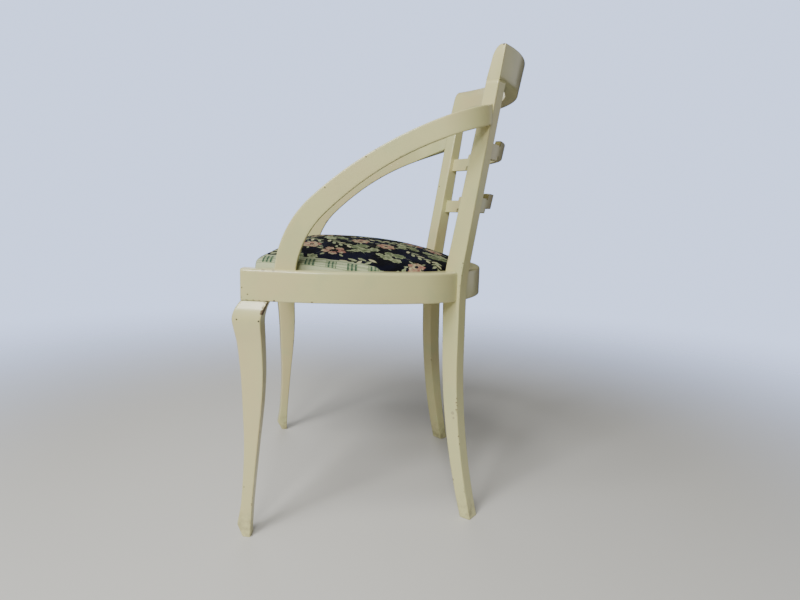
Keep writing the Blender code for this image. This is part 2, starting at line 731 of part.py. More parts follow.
def back_slats():
    for word, bottom in zip(("lower", "upper"), SLAT_BOTTOMS):
        slat = add_object(f"back_slat_{word}", slat_mesh(bottom, 0.0, SLAT_HOUSING), LEFT, PAINT)
        soften(slat, SLAT_ROUND)


# Dowels

def dowel(point, axis, radius, grow):
    """Dowel centred on the joint, or its hole if grown."""
    reach = DOWEL_REACH + grow
    chamfer = 0.0 if grow else radius * 0.25
    profile = [(-reach, radius + grow - chamfer), (-reach + chamfer, radius + grow),
               (reach - chamfer, radius + grow), (reach, radius + grow - chamfer)]
    if grow:
        profile = [profile[0], profile[-1]]
    return turned(point, axis, profile)


def leg_dowel(grow=0.0):
    corner, outward, forward = leg_axes()
    point = corner - outward * (FRAME_THICKNESS / 2.0) - forward * LEG_DOWEL_BACK
    point.z = frame_underside(point.y)
    return dowel(point, UP, LEG_DOWEL_RADIUS, grow)


def arm_base_dowel(grow=0.0):
    point, turn = arm_plan(0.0)
    point = point - normal_at(turn) * (ARM_THICKNESS / 2.0)
    point.z = frame_top(ARM_BASE_Y)
    return dowel(point, UP, DOWEL_RADIUS, grow)


def arm_end_dowel(grow=0.0):
    z = arm_end_height()
    face, normal = post_side_plane(z, 1)
    return dowel(face - POST_NORMAL * (ARM_THICKNESS / 2.0), normal, DOWEL_RADIUS, grow)


def crest_dowel(grow=0.0):
    point = post_outer(POST_TOP) - POST_NORMAL * (POST_TOP_DEPTH / 2.0)
    return dowel(point, UP, DOWEL_RADIUS, grow)


def dowels(side, word):
    add_object(f"leg_dowel_{word}", leg_dowel(), side, BARE_WOOD)
    add_object(f"arm_base_dowel_{word}", arm_base_dowel(), side, BARE_WOOD)
    add_object(f"arm_end_dowel_{word}", arm_end_dowel(), side, BARE_WOOD)
    add_object(f"crest_dowel_{word}", crest_dowel(), side, BARE_WOOD)


# Corner blocks and screws

def block_top(y):
    return frame_top(y) - SEAT_RECESS


def front_block_corner():
    """Inner corner of the frame at the front, and the direction of the side rail's inner face."""
    rear_y = FRAME_FRONT_Y + FRONT_RAIL_THICKNESS
    near = frame_curve(front_turn(rear_y, FRAME_THICKNESS), FRAME_THICKNESS)
    far = frame_curve(front_turn(rear_y + BLOCK_REACH, FRAME_THICKNESS), FRAME_THICKNESS)
    return near, (far - near).normalized()


def front_screw_places():
    """Points on the rails' inner faces and directions into the rails: front rail, then side rail."""
    corner, along = front_block_corner()
    reach = BLOCK_REACH - BLOCK_WING
    height = block_top(corner.y) - BLOCK_HEIGHT / 2.0
    in_front = corner + Vector((-reach, 0.0, 0.0))
    in_side = corner + along * reach
    in_front.z = in_side.z = height
    return [(in_front, Vector((0.0, -1.0, 0.0))), (in_side, Vector((along.y, -along.x, 0.0)))]


def front_block(side, word):
    corner, along = front_block_corner()
    inwards = Vector((-along.y, along.x, 0.0))
    back = Vector((0.0, 1.0, 0.0))
    start = corner + back * CLEARANCE + inwards * (CLEARANCE / inwards.dot(Vector((-1.0, 0.0, 0.0))))
    wing_front = start + Vector((-BLOCK_REACH, 0.0, 0.0))
    wing_side = start + along * BLOCK_REACH
    plan = [start, wing_front, wing_front + back * BLOCK_WING, wing_side + inwards * BLOCK_WING, wing_side]
    rings = []
    for drop in (BLOCK_HEIGHT, 0.0):
        rings.append([Vector((p.x, p.y, block_top(p.y) - drop)) for p in plan])
    block = add_object(f"front_block_{word}", loft(rings), side, BARE_WOOD)
    for number, screw in enumerate(front_screw_places()):
        reshape(block, screw_hole(*screw), f"screw_hole_{number}", side)


def rear_screw_places():
    """Points on the rails' inner faces and directions into the rails: side rail, then back rail."""
    places = []
    quarter = (REAR_BLOCK_TURNS[1] - REAR_BLOCK_TURNS[0]) / 6.0
    for turn in (REAR_BLOCK_TURNS[1] - quarter, REAR_BLOCK_TURNS[0] + quarter):
        point = frame_curve(turn, FRAME_THICKNESS)
        point.z = block_top(point.y) - BLOCK_HEIGHT / 2.0
        places.append((point, normal_at(turn)))
    return places


def rear_block(side, word):
    outline = rounded_outline(FRAME_THICKNESS + CLEARANCE, FRAME_THICKNESS + REAR_BLOCK_THICKNESS,
                              FRAME_HEIGHT - SEAT_RECESS - BLOCK_HEIGHT, FRAME_HEIGHT - SEAT_RECESS,
                              (EDGE_ROUND,) * 4, steps=1)
    mesh = frame_sweep(spread(*REAR_BLOCK_TURNS, 15), outline)
    block = add_object(f"rear_block_{word}", mesh, side, BARE_WOOD)
    for number, screw in enumerate(rear_screw_places()):
        reshape(block, screw_hole(*screw), f"screw_hole_{number}", side)


def screw_hole(point, into):
    """Shank hole in block and rail, with a counterbore for the head."""
    shank = SCREW_SHANK + CLEARANCE
    head = SCREW_HEAD + CLEARANCE
    profile = [(-(SCREW_BITE + CLEARANCE), shank), (SCREW_SEAT, shank), (SCREW_SEAT, head),
               (BLOCK_REACH + SCREW_SEAT, head)]
    return turned(point, -into, profile)


def screw(name, point, into, side):
    seat = SCREW_SEAT + CLEARANCE
    profile = [(-SCREW_BITE, SCREW_SHANK * 0.3), (-SCREW_BITE + SCREW_SHANK * 2.0, SCREW_SHANK),
               (seat, SCREW_SHANK), (seat, SCREW_HEAD), (seat + SCREW_HEAD_DEPTH * 0.5, SCREW_HEAD),
               (seat + SCREW_HEAD_DEPTH, SCREW_HEAD * 0.6)]
    add_object(name, turned(point, -into, profile), side, STEEL)


def block_screws(side, word):
    places = front_screw_places() + rear_screw_places()
    names = ("front_block_front", "front_block_side", "rear_block_side", "rear_block_back")
    for name, (point, into) in zip(names, places):
        screw(f"screw_{name}_{word}", point, into, side)


# Drop-in seat

def seat_outline(inset):
    """Closed plan outline of the seat, inside the side and back rails and over the front rail."""
    front_y = FRAME_FRONT_Y + SEAT_FRONT_SETBACK
    reach = front_turn(front_y, inset)
    points = [frame_curve(turn, inset) for turn in spread(-reach, reach, SEAT_STATIONS)]
    left = points[-1].x
    points += [Vector((x, front_y, 0.0)) for x in spread(left, -left, 12)[1:-1]]
    return points


def seat_board():
    outline = seat_outline(FRAME_THICKNESS + SEAT_GAP)
    rings = []
    for rise in (CLEARANCE, BOARD_THICKNESS):
        rings.append([Vector((p.x, p.y, block_top(p.y) + rise)) for p in outline])
    add_object("seat_board", loft(rings), LEFT, BARE_WOOD)


def pad_edge_rise(y):
    share = (FRAME_BACK_Y - y) / (FRAME_BACK_Y - FRAME_FRONT_Y)
    return PAD_REAR_RISE + (PAD_FRONT_RISE - PAD_REAR_RISE) * share


def seat_pad():
    """Crowned pad: rings that shrink towards the crown, rising on a smooth fullness curve."""
    outline = seat_outline(FRAME_THICKNESS + SEAT_GAP)
    base = BOARD_THICKNESS + CLEARANCE - SEAT_RECESS
    rings = [[Vector((p.x, p.y, frame_top(p.y) + base)) for p in outline]]
    peak = Vector((0.0, PAD_PEAK_Y, 0.0))
    for step in range(PAD_RINGS):
        share = step / PAD_RINGS
        ring = []
        for point in outline:
            moved = point.lerp(peak, share)
            edge = pad_edge_rise(point.y)
            rise = edge + (PAD_CROWN - edge) * (1.0 - (1.0 - share) ** PAD_FULLNESS)
            ring.append(Vector((moved.x, moved.y, frame_top(moved.y) + rise)))
        rings.append(ring)
    mesh = bmesh.new()
    rows = [[mesh.verts.new(point) for point in ring] for ring in rings]
    count = len(outline)
    for lower, upper in zip(rows, rows[1:]):
        for i in range(count):
            j = (i + 1) % count
            mesh.faces.new((lower[i], lower[j], upper[j], upper[i]))
    crown = mesh.verts.new((peak.x, peak.y, frame_top(peak.y) + PAD_CROWN))
    for i in range(count):
        mesh.faces.new((rows[-1][i], rows[-1][(i + 1) % count], crown))
    mesh.faces.new(rows[0])
    bmesh.ops.recalc_face_normals(mesh, faces=mesh.faces)
    add_object("seat_pad", mesh, LEFT, FABRIC)


def build():
    clear_scene()
    for side, word in SIDES:
        side_rail(side, word)
        rear_post(side, word)
        front_leg(side, word)
        arm(side, word)
        dowels(side, word)
        front_block(side, word)
        rear_block(side, word)
        block_screws(side, word)
    back_rail()
    front_rail()
    crest_rail()
    back_slats()
    seat_board()
    seat_pad()


build()
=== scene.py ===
"""Looks of an old painted armchair.

Brushed cream paint with chips, scuffs, dirt and patches of painted shade on a chair with a horseshoe seat
frame and bow arms, and a drop-in seat covered with a dark flowered cloth. Metres, +Z up. The chair
faces -Y, and the sitter's left is +X.
"""
from __future__ import annotations

import json
import logging
import math
from dataclasses import dataclass
from enum import Enum
from typing import Any, Callable

import bmesh
import bpy
import numpy as np
from mathutils import Matrix, Vector


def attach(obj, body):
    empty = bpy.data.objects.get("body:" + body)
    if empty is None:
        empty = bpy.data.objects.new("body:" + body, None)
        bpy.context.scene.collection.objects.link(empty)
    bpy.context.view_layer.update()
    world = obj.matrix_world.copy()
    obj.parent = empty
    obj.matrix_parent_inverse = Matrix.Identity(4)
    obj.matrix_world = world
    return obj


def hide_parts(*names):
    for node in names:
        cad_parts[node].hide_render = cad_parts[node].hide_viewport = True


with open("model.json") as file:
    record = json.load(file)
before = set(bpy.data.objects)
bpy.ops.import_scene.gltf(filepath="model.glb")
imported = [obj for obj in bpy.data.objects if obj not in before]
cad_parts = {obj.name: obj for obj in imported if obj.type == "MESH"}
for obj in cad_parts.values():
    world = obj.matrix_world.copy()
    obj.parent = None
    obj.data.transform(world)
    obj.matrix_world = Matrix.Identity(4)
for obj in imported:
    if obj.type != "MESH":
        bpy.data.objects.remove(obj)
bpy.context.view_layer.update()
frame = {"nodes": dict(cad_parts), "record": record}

LOG = logging.getLogger("armchair")
Array = np.ndarray
Rgb = tuple[float, float, float]
BODY = "root"


class Side(Enum):
    """Side of the chair, as the sign of X."""

    LEFT = 1
    RIGHT = -1

    @property
    def word(self) -> str:
        """Name of the side in lower case."""
        return self.name.lower()


class Mark(Enum):
    """Kind of a mark on the paint: a damaged place, or a patch of painted shade."""

    CHIP = "paint broken off to the brown wood"
    HOLE = "small dark hole"
    SCUFF = "grey rubbed place"
    # Painted shade: a dark olive patch that stands for the shadow at a slat's step end.
    PAINTED_SHADE = "brown grime left in a corner"

    @property
    def raggedness(self) -> float:
        """How far the mark's outline strays, as a share of its size."""
        return 0.3 if self in (Mark.PAINTED_SHADE, Mark.HOLE) else 0.9


# Surfaces from arrays


@dataclass(frozen=True)
class Section:
    """A rectangle with rounded corners, as a template for the rings of a surface.

    Each point belongs to a corner, given as 0 or 1 in u and v, and stands off from it by a fixed
    offset. The points follow each corner's arc, with one more point on each side, a short way along
    the flat, so that the shading of the flats stays flat. A point's wear is 1 on the arcs.
    """

    corner_u: Array
    corner_v: Array
    offset_u: Array
    offset_v: Array
    wear: Array

    @classmethod
    def rounded(cls, radii: tuple[float, float, float, float], margin: float = 0.0022,
                steps: int = 4) -> Section:
        """Makes the template.

        Args:
            radii: Radius of the corners low-low, high-low, high-high and low-high, in metres.
            margin: Distance of the extra points from the arcs, in metres.
            steps: Number of segments in each arc.

        Returns:
            The template.
        """
        columns: list[Array] = []
        for quarter, (radius, u, v) in enumerate(zip(radii, (0, 1, 1, 0), (0, 0, 1, 1))):
            angles = math.pi * (1.0 + 0.5 * quarter) + np.linspace(0.0, 0.5 * math.pi, steps + 1)
            inward = np.array([1.0 - 2.0 * u, 1.0 - 2.0 * v])
            arc = radius * (inward + np.stack([np.cos(angles), np.sin(angles)], 1))
            travel = margin * np.stack([-np.sin(angles), np.cos(angles)], 1)
            points = np.vstack([arc[:1] - travel[:1], arc, arc[-1:] + travel[-1:]])
            worn = np.r_[0.0, np.ones(steps + 1), 0.0]
            columns.append(np.column_stack([np.full((len(points), 2), (u, v)), points, worn]))
        return cls(*np.vstack(columns).T)

    def place(self, low_u: Any, high_u: Any, low_v: Any, high_v: Any) -> tuple[Array, Array]:
        """Fits the template to rectangles.

        Args:
            low_u: Lower limit in u, a number or a column with one number for each ring.
            high_u: Upper limit in u.
            low_v: Lower limit in v.
            high_v: Upper limit in v.

        Returns:
            The u and v of each point, as arrays of rings by points.
        """
        u = low_u + (high_u - low_u) * self.corner_u + self.offset_u
        v = low_v + (high_v - low_v) * self.corner_v + self.offset_v
        return np.atleast_2d(u), np.atleast_2d(v)


def column(values: Any) -> Array:
    """One number for each ring, as a column."""
    return np.asarray(values, float).reshape(-1, 1)


def eased(values: Array, low: float, high: float) -> Array:
    """Smooth step from 0 at low to 1 at high: 3t^2 - 2t^3 of the clamped share t."""
    share = np.clip((values - low) / (high - low), 0.0, 1.0)
    return share * share * (3.0 - 2.0 * share)


def stack(x: Array, y: Array, z: Array) -> Array:
    """Points from their coordinates, which are first spread to one shape."""
    return np.stack(np.broadcast_arrays(x, y, z), -1)


@dataclass
class Skin:
    """A closed surface: rings of points carried along a path, with flat ends.

    Attributes:
        rings: Points, as an array of rings by points by 3.
        wear: How exposed each point is, from 0 on a flat to 1 on an arris.
        start_round: Rounding radius of the first end, in metres.
        end_round: Rounding radius of the last end, in metres.
        start_wear: How exposed the first end's arris is.
        end_wear: How exposed the last end's arris is.
    """

    rings: Array
    wear: Array
    start_round: float = 0.0
    end_round: float = 0.0
    start_wear: float = 0.0
    end_wear: float = 0.0

    def _rounded_end(self, ring: Array, inner: Array, radius: float) -> Array:
        """Quarter circle of rings that shrinks an end: back by r(1 - sin t), in by r(1 - cos t).

        Args:
            ring: Last ring of the surface.
            inner: The ring before it.
            radius: Rounding radius, in metres.

        Returns:
            The rings that take the place of the last one.
        """
        centre = ring.mean(0)
        axis = centre - inner.mean(0)
        axis /= np.linalg.norm(axis)
        spoke = ring - centre
        spoke -= np.outer(spoke @ axis, axis)
        spoke /= np.linalg.norm(spoke, axis=1, keepdims=True)
        turn = np.radians([0.0, 30.0, 60.0, 90.0]).reshape(-1, 1, 1)
        return ring - axis * radius * (1.0 - np.sin(turn)) - spoke * radius * (1.0 - np.cos(turn))

    def _with_ends(self) -> tuple[Array, Array]:
        """Puts the rounded ends in.

        Returns:
            Rings and wear of the whole surface.
        """
        rings, wear = self.rings, np.broadcast_to(self.wear, self.rings.shape[:2])
        if self.start_round:
            cap = self._rounded_end(rings[0], rings[1], self.start_round)[::-1]
            rings = np.concatenate([cap, rings[1:]])
            wear = np.concatenate([np.full((len(cap), wear.shape[1]), self.start_wear), wear[1:]])
        if self.end_round:
            cap = self._rounded_end(rings[-1], rings[-2], self.end_round)
            rings = np.concatenate([rings[:-1], cap])
            wear = np.concatenate([wear[:-1], np.full((len(cap), wear.shape[1]), self.end_wear)])
        return rings, wear

    def build(self, name: str, side: Side = Side.LEFT) -> bpy.types.Object:
        """Makes the mesh object, with UVs in metres along and around it.

        Args:
            name: Name of the object.
            side: Side of the chair. The right side is the left one mirrored in X.

        Returns:
            The new object, in the scene.
        """
        rings, wear = self._with_ends()
        rings = rings * np.array([side.value, 1.0, 1.0])
        rings[..., 2] = np.maximum(rings[..., 2], 0.0)
        count, around = rings.shape[:2]
        index = np.arange(count * around).reshape(count, around)
        beside = np.roll(index, -1, axis=1)
        quads = np.stack([index[:-1], beside[:-1], beside[1:], index[1:]], -1).reshape(-1, 4)
        mesh = bpy.data.meshes.new(name)
        faces = quads.tolist() + [index[0][::-1].tolist(), index[-1].tolist()]
        mesh.from_pydata(rings.reshape(-1, 3).tolist(), [], faces)
        closed = np.concatenate([rings, rings[:, :1]], axis=1)
        along = np.r_[0.0, np.cumsum(np.linalg.norm(np.diff(rings.mean(1), axis=0), axis=1))]
        widths = np.linalg.norm(np.diff(closed, axis=1), axis=2).mean(0)
        across = np.r_[0.0, np.cumsum(widths)]
        u = np.broadcast_to(along.reshape(-1, 1), (count, around + 1))
        v = np.broadcast_to(across, (count, around + 1))
        grid = np.stack([u, v], -1)
        loops = np.stack([grid[:-1, :-1], grid[:-1, 1:], grid[1:, 1:], grid[1:, :-1]], 2)
        ends = np.concatenate([grid[0, :-1][::-1], grid[-1, :-1]])
        corners = np.concatenate([loops.reshape(-1, 2), ends])
        layer = mesh.uv_layers.new(name="UVMap")
        layer.uv.foreach_set("vector", corners.astype(np.float32).ravel())
        attribute = mesh.attributes.new("wear", "FLOAT", "POINT")
        attribute.data.foreach_set("value", wear.astype(np.float32).ravel())
        return as_object(name, mesh)

    def paint(self, paint: PaintFinish, node: str, side: Side | None = None) -> None:
        """Builds the painted piece that stands for a CAD node.

        Args:
            paint: Finish of the piece.
            node: Name of the node, without its side.
            side: Side of the chair, or None for a piece in the middle.
        """
        node = f"{node}_{side.word}" if side else node
        dress(self.build(f"painted_{node}", side or Side.LEFT), paint, node)


def as_object(name: str, mesh: bpy.types.Mesh) -> bpy.types.Object:
    """Puts a closed mesh in the scene, smooth and with its faces pointing out.

    Args:
        name: Name of the object.
        mesh: The mesh.

    Returns:
        The new object.
    """
    work = bmesh.new()
    work.from_mesh(mesh)
    bmesh.ops.recalc_face_normals(work, faces=work.faces)
    work.to_mesh(mesh)
    work.free()
    mesh.shade_smooth()
    item = bpy.data.objects.new(name, mesh)
    bpy.context.collection.objects.link(item)
    return item


# The chair's plan and its pieces


@dataclass(frozen=True)
class SeatPlan:
    """Plan curve of the seat frame, three tangent arcs a side, and the fall of the frame."""

    back_y: float = 0.1844
    front_y: float = -0.2380
    back_radius: float = 0.281
    back_turn: float = math.radians(39.5)
    corner_radius: float = 0.156
    side_turn: float = math.radians(72.0)
    side_radius: float = 0.550
    top_height: float = 0.440
    fall: float = 0.0143
    height: float = 0.0505
    thickness: float = 0.028
    post_turns: tuple[float, float] = (0.3, 1.2)

    def normal(self, turn: Any) -> Array:
        """Outward direction in plan where the tangent has turned by this angle from +X."""
        return stack(np.sin(turn), np.cos(turn), 0.0)

    def tangent(self, turn: Any) -> Array:
        """Direction of the curve in plan, from the back to the front."""
        return stack(np.cos(turn), -np.sin(turn), 0.0)

    def curve(self, turn: Any, inset: Any) -> tuple[Array, Array]:
        """Points of the curve, moved in.

        Each arc adds r(sin b - sin a) to x and takes r(cos a - cos b) from y between its turns.

        Args:
            turn: Turn of the tangent in radians, negative on the other side.
            inset: Distance from the outer face, in metres.

        Returns:
            The x and y of the points.
        """
        sign, turn = np.where(np.asarray(turn) < 0.0, -1.0, 1.0), np.abs(turn)
        x, y = 0.0, self.back_y
        limits = (0.0, self.back_turn, self.side_turn, math.pi)
        radii = (self.back_radius, self.corner_radius, self.side_radius)
        for start, end, radius in zip(limits, limits[1:], radii):
            stop = np.clip(turn, start, end)
            x = x + radius * (np.sin(stop) - math.sin(start))
            y = y - radius * (math.cos(start) - np.cos(stop))
        return sign * (x - np.sin(turn) * inset), y - np.cos(turn) * inset

    def turn_at_y(self, y: Any, inset: Any) -> Array:
        """Turn at which the side arc, moved in, reaches this y."""
        end_y = self.curve(self.side_turn, inset)[1]
        return np.arccos(math.cos(self.side_turn) - (end_y - y) / (self.side_radius - inset))

    def turn_at_plane(self, point: Array, normal: Array, inset: Any) -> Array:
        """Turn at which the curve, moved in, crosses an upright plane, found by halving the interval.

        Args:
            point: A point of the plane.
            normal: Its normal, which points the way that the curve runs.
            inset: Distance from the outer face, in metres.

        Returns:
            The turn for each inset, in radians.
        """
        low, high = (np.full(np.shape(inset), turn) for turn in self.post_turns)
        for _ in range(40):
            middle = 0.5 * (low + high)
            x, y = self.curve(middle, inset)
            beyond = (x - point[0]) * normal[0] + (y - point[1]) * normal[1] > 0.0
            low, high = np.where(beyond, low, middle), np.where(beyond, middle, high)
        return 0.5 * (low + high)

    def top(self, y: Any) -> Any:
        """Height of the frame's top at this y."""
        return self.top_height - self.fall * (y - self.front_y)

    def underside(self, y: Any) -> Any:
        """Height of the frame's underside at this y."""
        return self.top(y) - self.height


@dataclass
class RearPosts:
    """Two rear posts, each one piece from its swept foot to the crest."""

    plan: SeatPlan
    turn: float = math.radians(38.4)
    width: float = 0.0262
    proud: float = 0.0050
    foot_depth: float = 0.0205
    top_depth: float = 0.0235
    top: float = 0.7462
    sabre_sweep: float = 0.0385
    sabre_start: float = 0.290
    rake: float = 0.1510
    rake_start: float = 0.3850
    rake_blend: float = 0.060
    drift: float = 0.0383
    drift_rise: float = 0.006
    round: float = 0.0020
    foot_round: float = 0.0016
    seated: float = 0.0006
    rings: int = 130

    def __post_init__(self) -> None:
        """Works out the post's axes and its place on the frame."""
        self.normal = self.plan.normal(self.turn)
        self.tangent = self.plan.tangent(self.turn)
        x, y = self.plan.curve(self.turn, 0.0)
        self.at_frame = np.array([float(x), float(y), 0.0]) + self.normal * self.proud
        self.drift_start = self.plan.top(self.at_frame[1]) + self.drift_rise

    def outer(self, z: Any) -> Array:
        """Middle of the outer face: a square law below the seat, and a straight rake above a bend.

        Args:
            z: Heights, in metres.

        Returns:
            A point for each height.
        """
        z = np.asarray(z, float)
        sweep = self.sabre_sweep * np.clip((self.sabre_start - z) / self.sabre_start, 0.0, None) ** 2
        rise = np.clip(z - self.rake_start, 0.0, None)
        bend = np.minimum(rise, self.rake_blend)
        sweep = sweep + self.rake * (bend * bend / (2.0 * self.rake_blend) + rise - bend)
        drift = self.drift * np.clip(z - self.drift_start, 0.0, None)
        point = self.at_frame + self.normal * sweep[..., None] - self.tangent * drift[..., None]
        return stack(point[..., 0], point[..., 1], z)

    def depth(self, z: Array) -> Array:
        """Depth across the frame's curve: a taper to the foot and a taper to the top.

        Args:
            z: Heights, in metres.

        Returns:
            The depth at each height.
        """
        heights = (0.0, self.plan.underside(self.at_frame[1]), self.plan.top(self.at_frame[1]), self.top)
        at_frame = self.plan.thickness + self.proud
        return np.interp(z, heights, (self.foot_depth, at_frame, at_frame, self.top_depth))

    def side(self, z: Any, along: float) -> Array:
        """Middle of the front (along = 1) or rear (along = -1) side at the outer face."""
        return self.outer(z) + self.tangent * along * self.width / 2.0

    def build(self, paint: PaintFinish) -> None:
        """Makes both posts.

        Args:
            paint: Finish of the posts.
        """
        section = Section.rounded((self.round,) * 4)
        z = np.linspace(0.0, self.top + self.seated, self.rings)
        u, v = section.place(-self.width / 2.0, self.width / 2.0, -column(self.depth(z)), 0.0)
        rings = self.outer(z)[:, None] + self.tangent * u[..., None] + self.normal * v[..., None]
        for side in Side:
            Skin(rings, section.wear, self.foot_round, 0.0, 1.0).paint(paint, "rear_post", side)


@dataclass
class SeatFrame:
    """Horseshoe of side rails and back rail, closed by the front rail."""

    plan: SeatPlan
    posts: RearPosts
    front_rail_thickness: float = 0.028
    seat_recess: float = 0.012
    top_round: float = 0.0042
    edge_round: float = 0.0015
    front_round: float = 0.0004
    front_gap: float = 0.0002
    post_height: float = 0.42
    sink: float = 0.0010
    step: float = math.radians(0.8)

    def _section(self) -> Section:
        """Section of a rail, softest at its outer top edge."""
        return Section.rounded((self.edge_round, self.edge_round, self.edge_round, self.top_round), steps=5)

    def _rail(self, limits: Callable[[Array], tuple[Array, Array]], rounds: tuple[float, float],
              end_wear: float = 0.0) -> Skin:
        """A rail carried along the plan curve.

        Args:
            limits: Gives the first and last turn for an array of insets.
            rounds: Rounding radii of the two ends.
            end_wear: How exposed the last end is.

        Returns:
            The rail's surface.
        """
        section = self._section()
        inset, rise = section.place(0.0, self.plan.thickness, 0.0, self.plan.height)
        first, last = limits(inset)
        count = int(float(np.max(last - first)) / self.step) + 2
        turn = first + (last - first) * column(np.linspace(0.0, 1.0, count))
        x, y = self.plan.curve(turn, inset)
        return Skin(stack(x, y, self.plan.underside(y) + rise), section.wear, *rounds, 0.0, end_wear)

    def _post_turn(self, inset: Array, along: float) -> Array:
        """Turn at which a rail runs into the side of a post."""
        face = self.posts.side(self.post_height, along) - self.posts.tangent * along * self.sink
        return self.plan.turn_at_plane(face, self.posts.tangent, inset)

    def _front_rail(self) -> Skin:
        """Straight rail between the side rails, low enough to carry the seat.

        Returns:
            The rail's surface.
        """
        section = self._section()
        height = self.plan.height - self.seat_recess
        setback, rise = section.place(0.0, self.front_rail_thickness, 0.0, height)
        y = self.plan.front_y + setback
        reach = self.plan.curve(self.plan.turn_at_y(y, self.plan.thickness), self.plan.thickness)[0]
        x = (reach - self.front_gap) * column(np.linspace(-1.0, 1.0, 40))
        points = stack(x, y, self.plan.underside(y) + rise)
        return Skin(points, section.wear, self.front_round, self.front_round)

    def build(self, paint: PaintFinish) -> None:
        """Makes the four rails.

        Args:
            paint: Finish of the rails.
        """
        def side_limits(inset: Array) -> tuple[Array, Array]:
            """From the post's front side to the chair's front."""
            return self._post_turn(inset, 1.0), self.plan.turn_at_y(self.plan.front_y, inset)

        def back_limits(inset: Array) -> tuple[Array, Array]:
            """From post to post."""
            reach = self._post_turn(inset, -1.0)
            return -reach, reach

        for side in Side:
            self._rail(side_limits, (0.0, self.edge_round), 1.0).paint(paint, "side_rail", side)
        self._rail(back_limits, (0.0, 0.0)).paint(paint, "back_rail")
        self._front_rail().paint(paint, "front_rail")


def smooth_rows(rows: Array, at: Array) -> Array:
    """Cubic curve through the rows of a table, with the slope of each row's two neighbours.

    Args:
        rows: Table whose first column is the place and whose others are values.
        at: Places to read.

    Returns:
        Values, as an array of places by columns.
    """
    places, values = rows[:, 0], rows[:, 1:]
    before = np.maximum(np.arange(len(rows)) - 1, 0)
    after = np.minimum(np.arange(len(rows)) + 1, len(rows) - 1)
    slopes = (values[after] - values[before]) / (places[after] - places[before])[:, None]
    low = np.clip(np.searchsorted(places, at, "right") - 1, 0, len(rows) - 2)
    span = (places[low + 1] - places[low])[:, None]
    t = (at - places[low])[:, None] / span
    return ((2 * t ** 3 - 3 * t ** 2 + 1) * values[low] + (t ** 3 - 2 * t ** 2 + t) * slopes[low] * span
            + (3 * t ** 2 - 2 * t ** 3) * values[low + 1] + (t ** 3 - t ** 2) * slopes[low + 1] * span)


@dataclass
class FrontLegs:
    """Two front legs, scrolled outwards at the knee and bevelled at the toe."""

    plan: SeatPlan
    # share of the height; front, rear and outer face from the frame's corner; thickness; tapers
    stations: tuple[tuple[float, ...], ...] = (
        (0.049, 0.0045, 0.0190, 0.0130, 0.0164, 0.0012, 0.0010),
        (0.146, -0.0009, 0.0205, 0.0090, 0.0168, 0.0010, 0.0012),
        (0.370, -0.0042, 0.0272, 0.0030, 0.0195, 0.0008, 0.0017),
        (0.560, -0.0018, 0.0345, 0.0010, 0.0225, 0.0008, 0.0023),
        (0.695, 0.0004, 0.0376, 0.0020, 0.0250, 0.0008, 0.0028),
        (0.826, 0.0048, 0.0370, 0.0052, 0.0280, 0.0010, 0.0028),
        (0.895, 0.0095, 0.0366, 0.0090, 0.0300, 0.0016, 0.0028),
        (0.930, 0.0110, 0.0372, 0.0100, 0.0308, 0.0020, 0.0030),
        (0.966, 0.0075, 0.0405, 0.0068, 0.0305, 0.0025, 0.0037),
        (1.000, 0.0000, 0.0455, 0.0000, 0.0300, 0.0030, 0.0050),
    )
    toe_front: float = -0.0055
    toe_out: float = 0.0155
    round: float = 0.0022
    toe_round: float = 0.0012
    top_round: float = 0.0003
    joint: float = 0.0002
    toe_rings: int = 7
    rings: int = 150

    def build(self, paint: PaintFinish) -> None:
        """Makes both legs from rings across the leg.

        Args:
            paint: Finish of the legs.
        """
        table = np.array(self.stations)
        toe, toe_share = table[0].copy(), table[0, 0]
        toe[[0, 1, 3]] = 0.0, self.toe_front, self.toe_out
        share = np.r_[np.linspace(0.0, toe_share, self.toe_rings + 1)[:-1],
                      np.linspace(toe_share, 1.0, self.rings)]
        bevel = np.clip(share / toe_share, 0.0, 1.0)[:, None]
        rows = np.where(share[:, None] < toe_share, toe[1:] + (table[0, 1:] - toe[1:]) * bevel,
                        smooth_rows(table, np.maximum(share, toe_share)))
        front, rear, outer, thickness, front_taper, rear_taper = rows.T[:, :, None]
        section = Section.rounded((self.round,) * 4, steps=5)
        u, v = section.place(outer - thickness, outer, -rear, front)
        inwards = (outer - u) / thickness
        v = v + np.where(section.corner_v > 0.5, -front_taper, rear_taper) * inwards
        turn = float(self.plan.turn_at_y(self.plan.front_y, 0.0))
        x, y = self.plan.curve(turn, 0.0)
        normal, tangent = self.plan.normal(turn), self.plan.tangent(turn)
        x, y = x + normal[0] * u + tangent[0] * v, y + normal[1] * u + tangent[1] * v
        z = column(share) * (self.plan.underside(y) - self.joint)
        skin = Skin(stack(x, y, z), section.wear, self.toe_round, self.top_round, 1.0)
        for side in Side:
            skin.paint(paint, "front_leg", side)


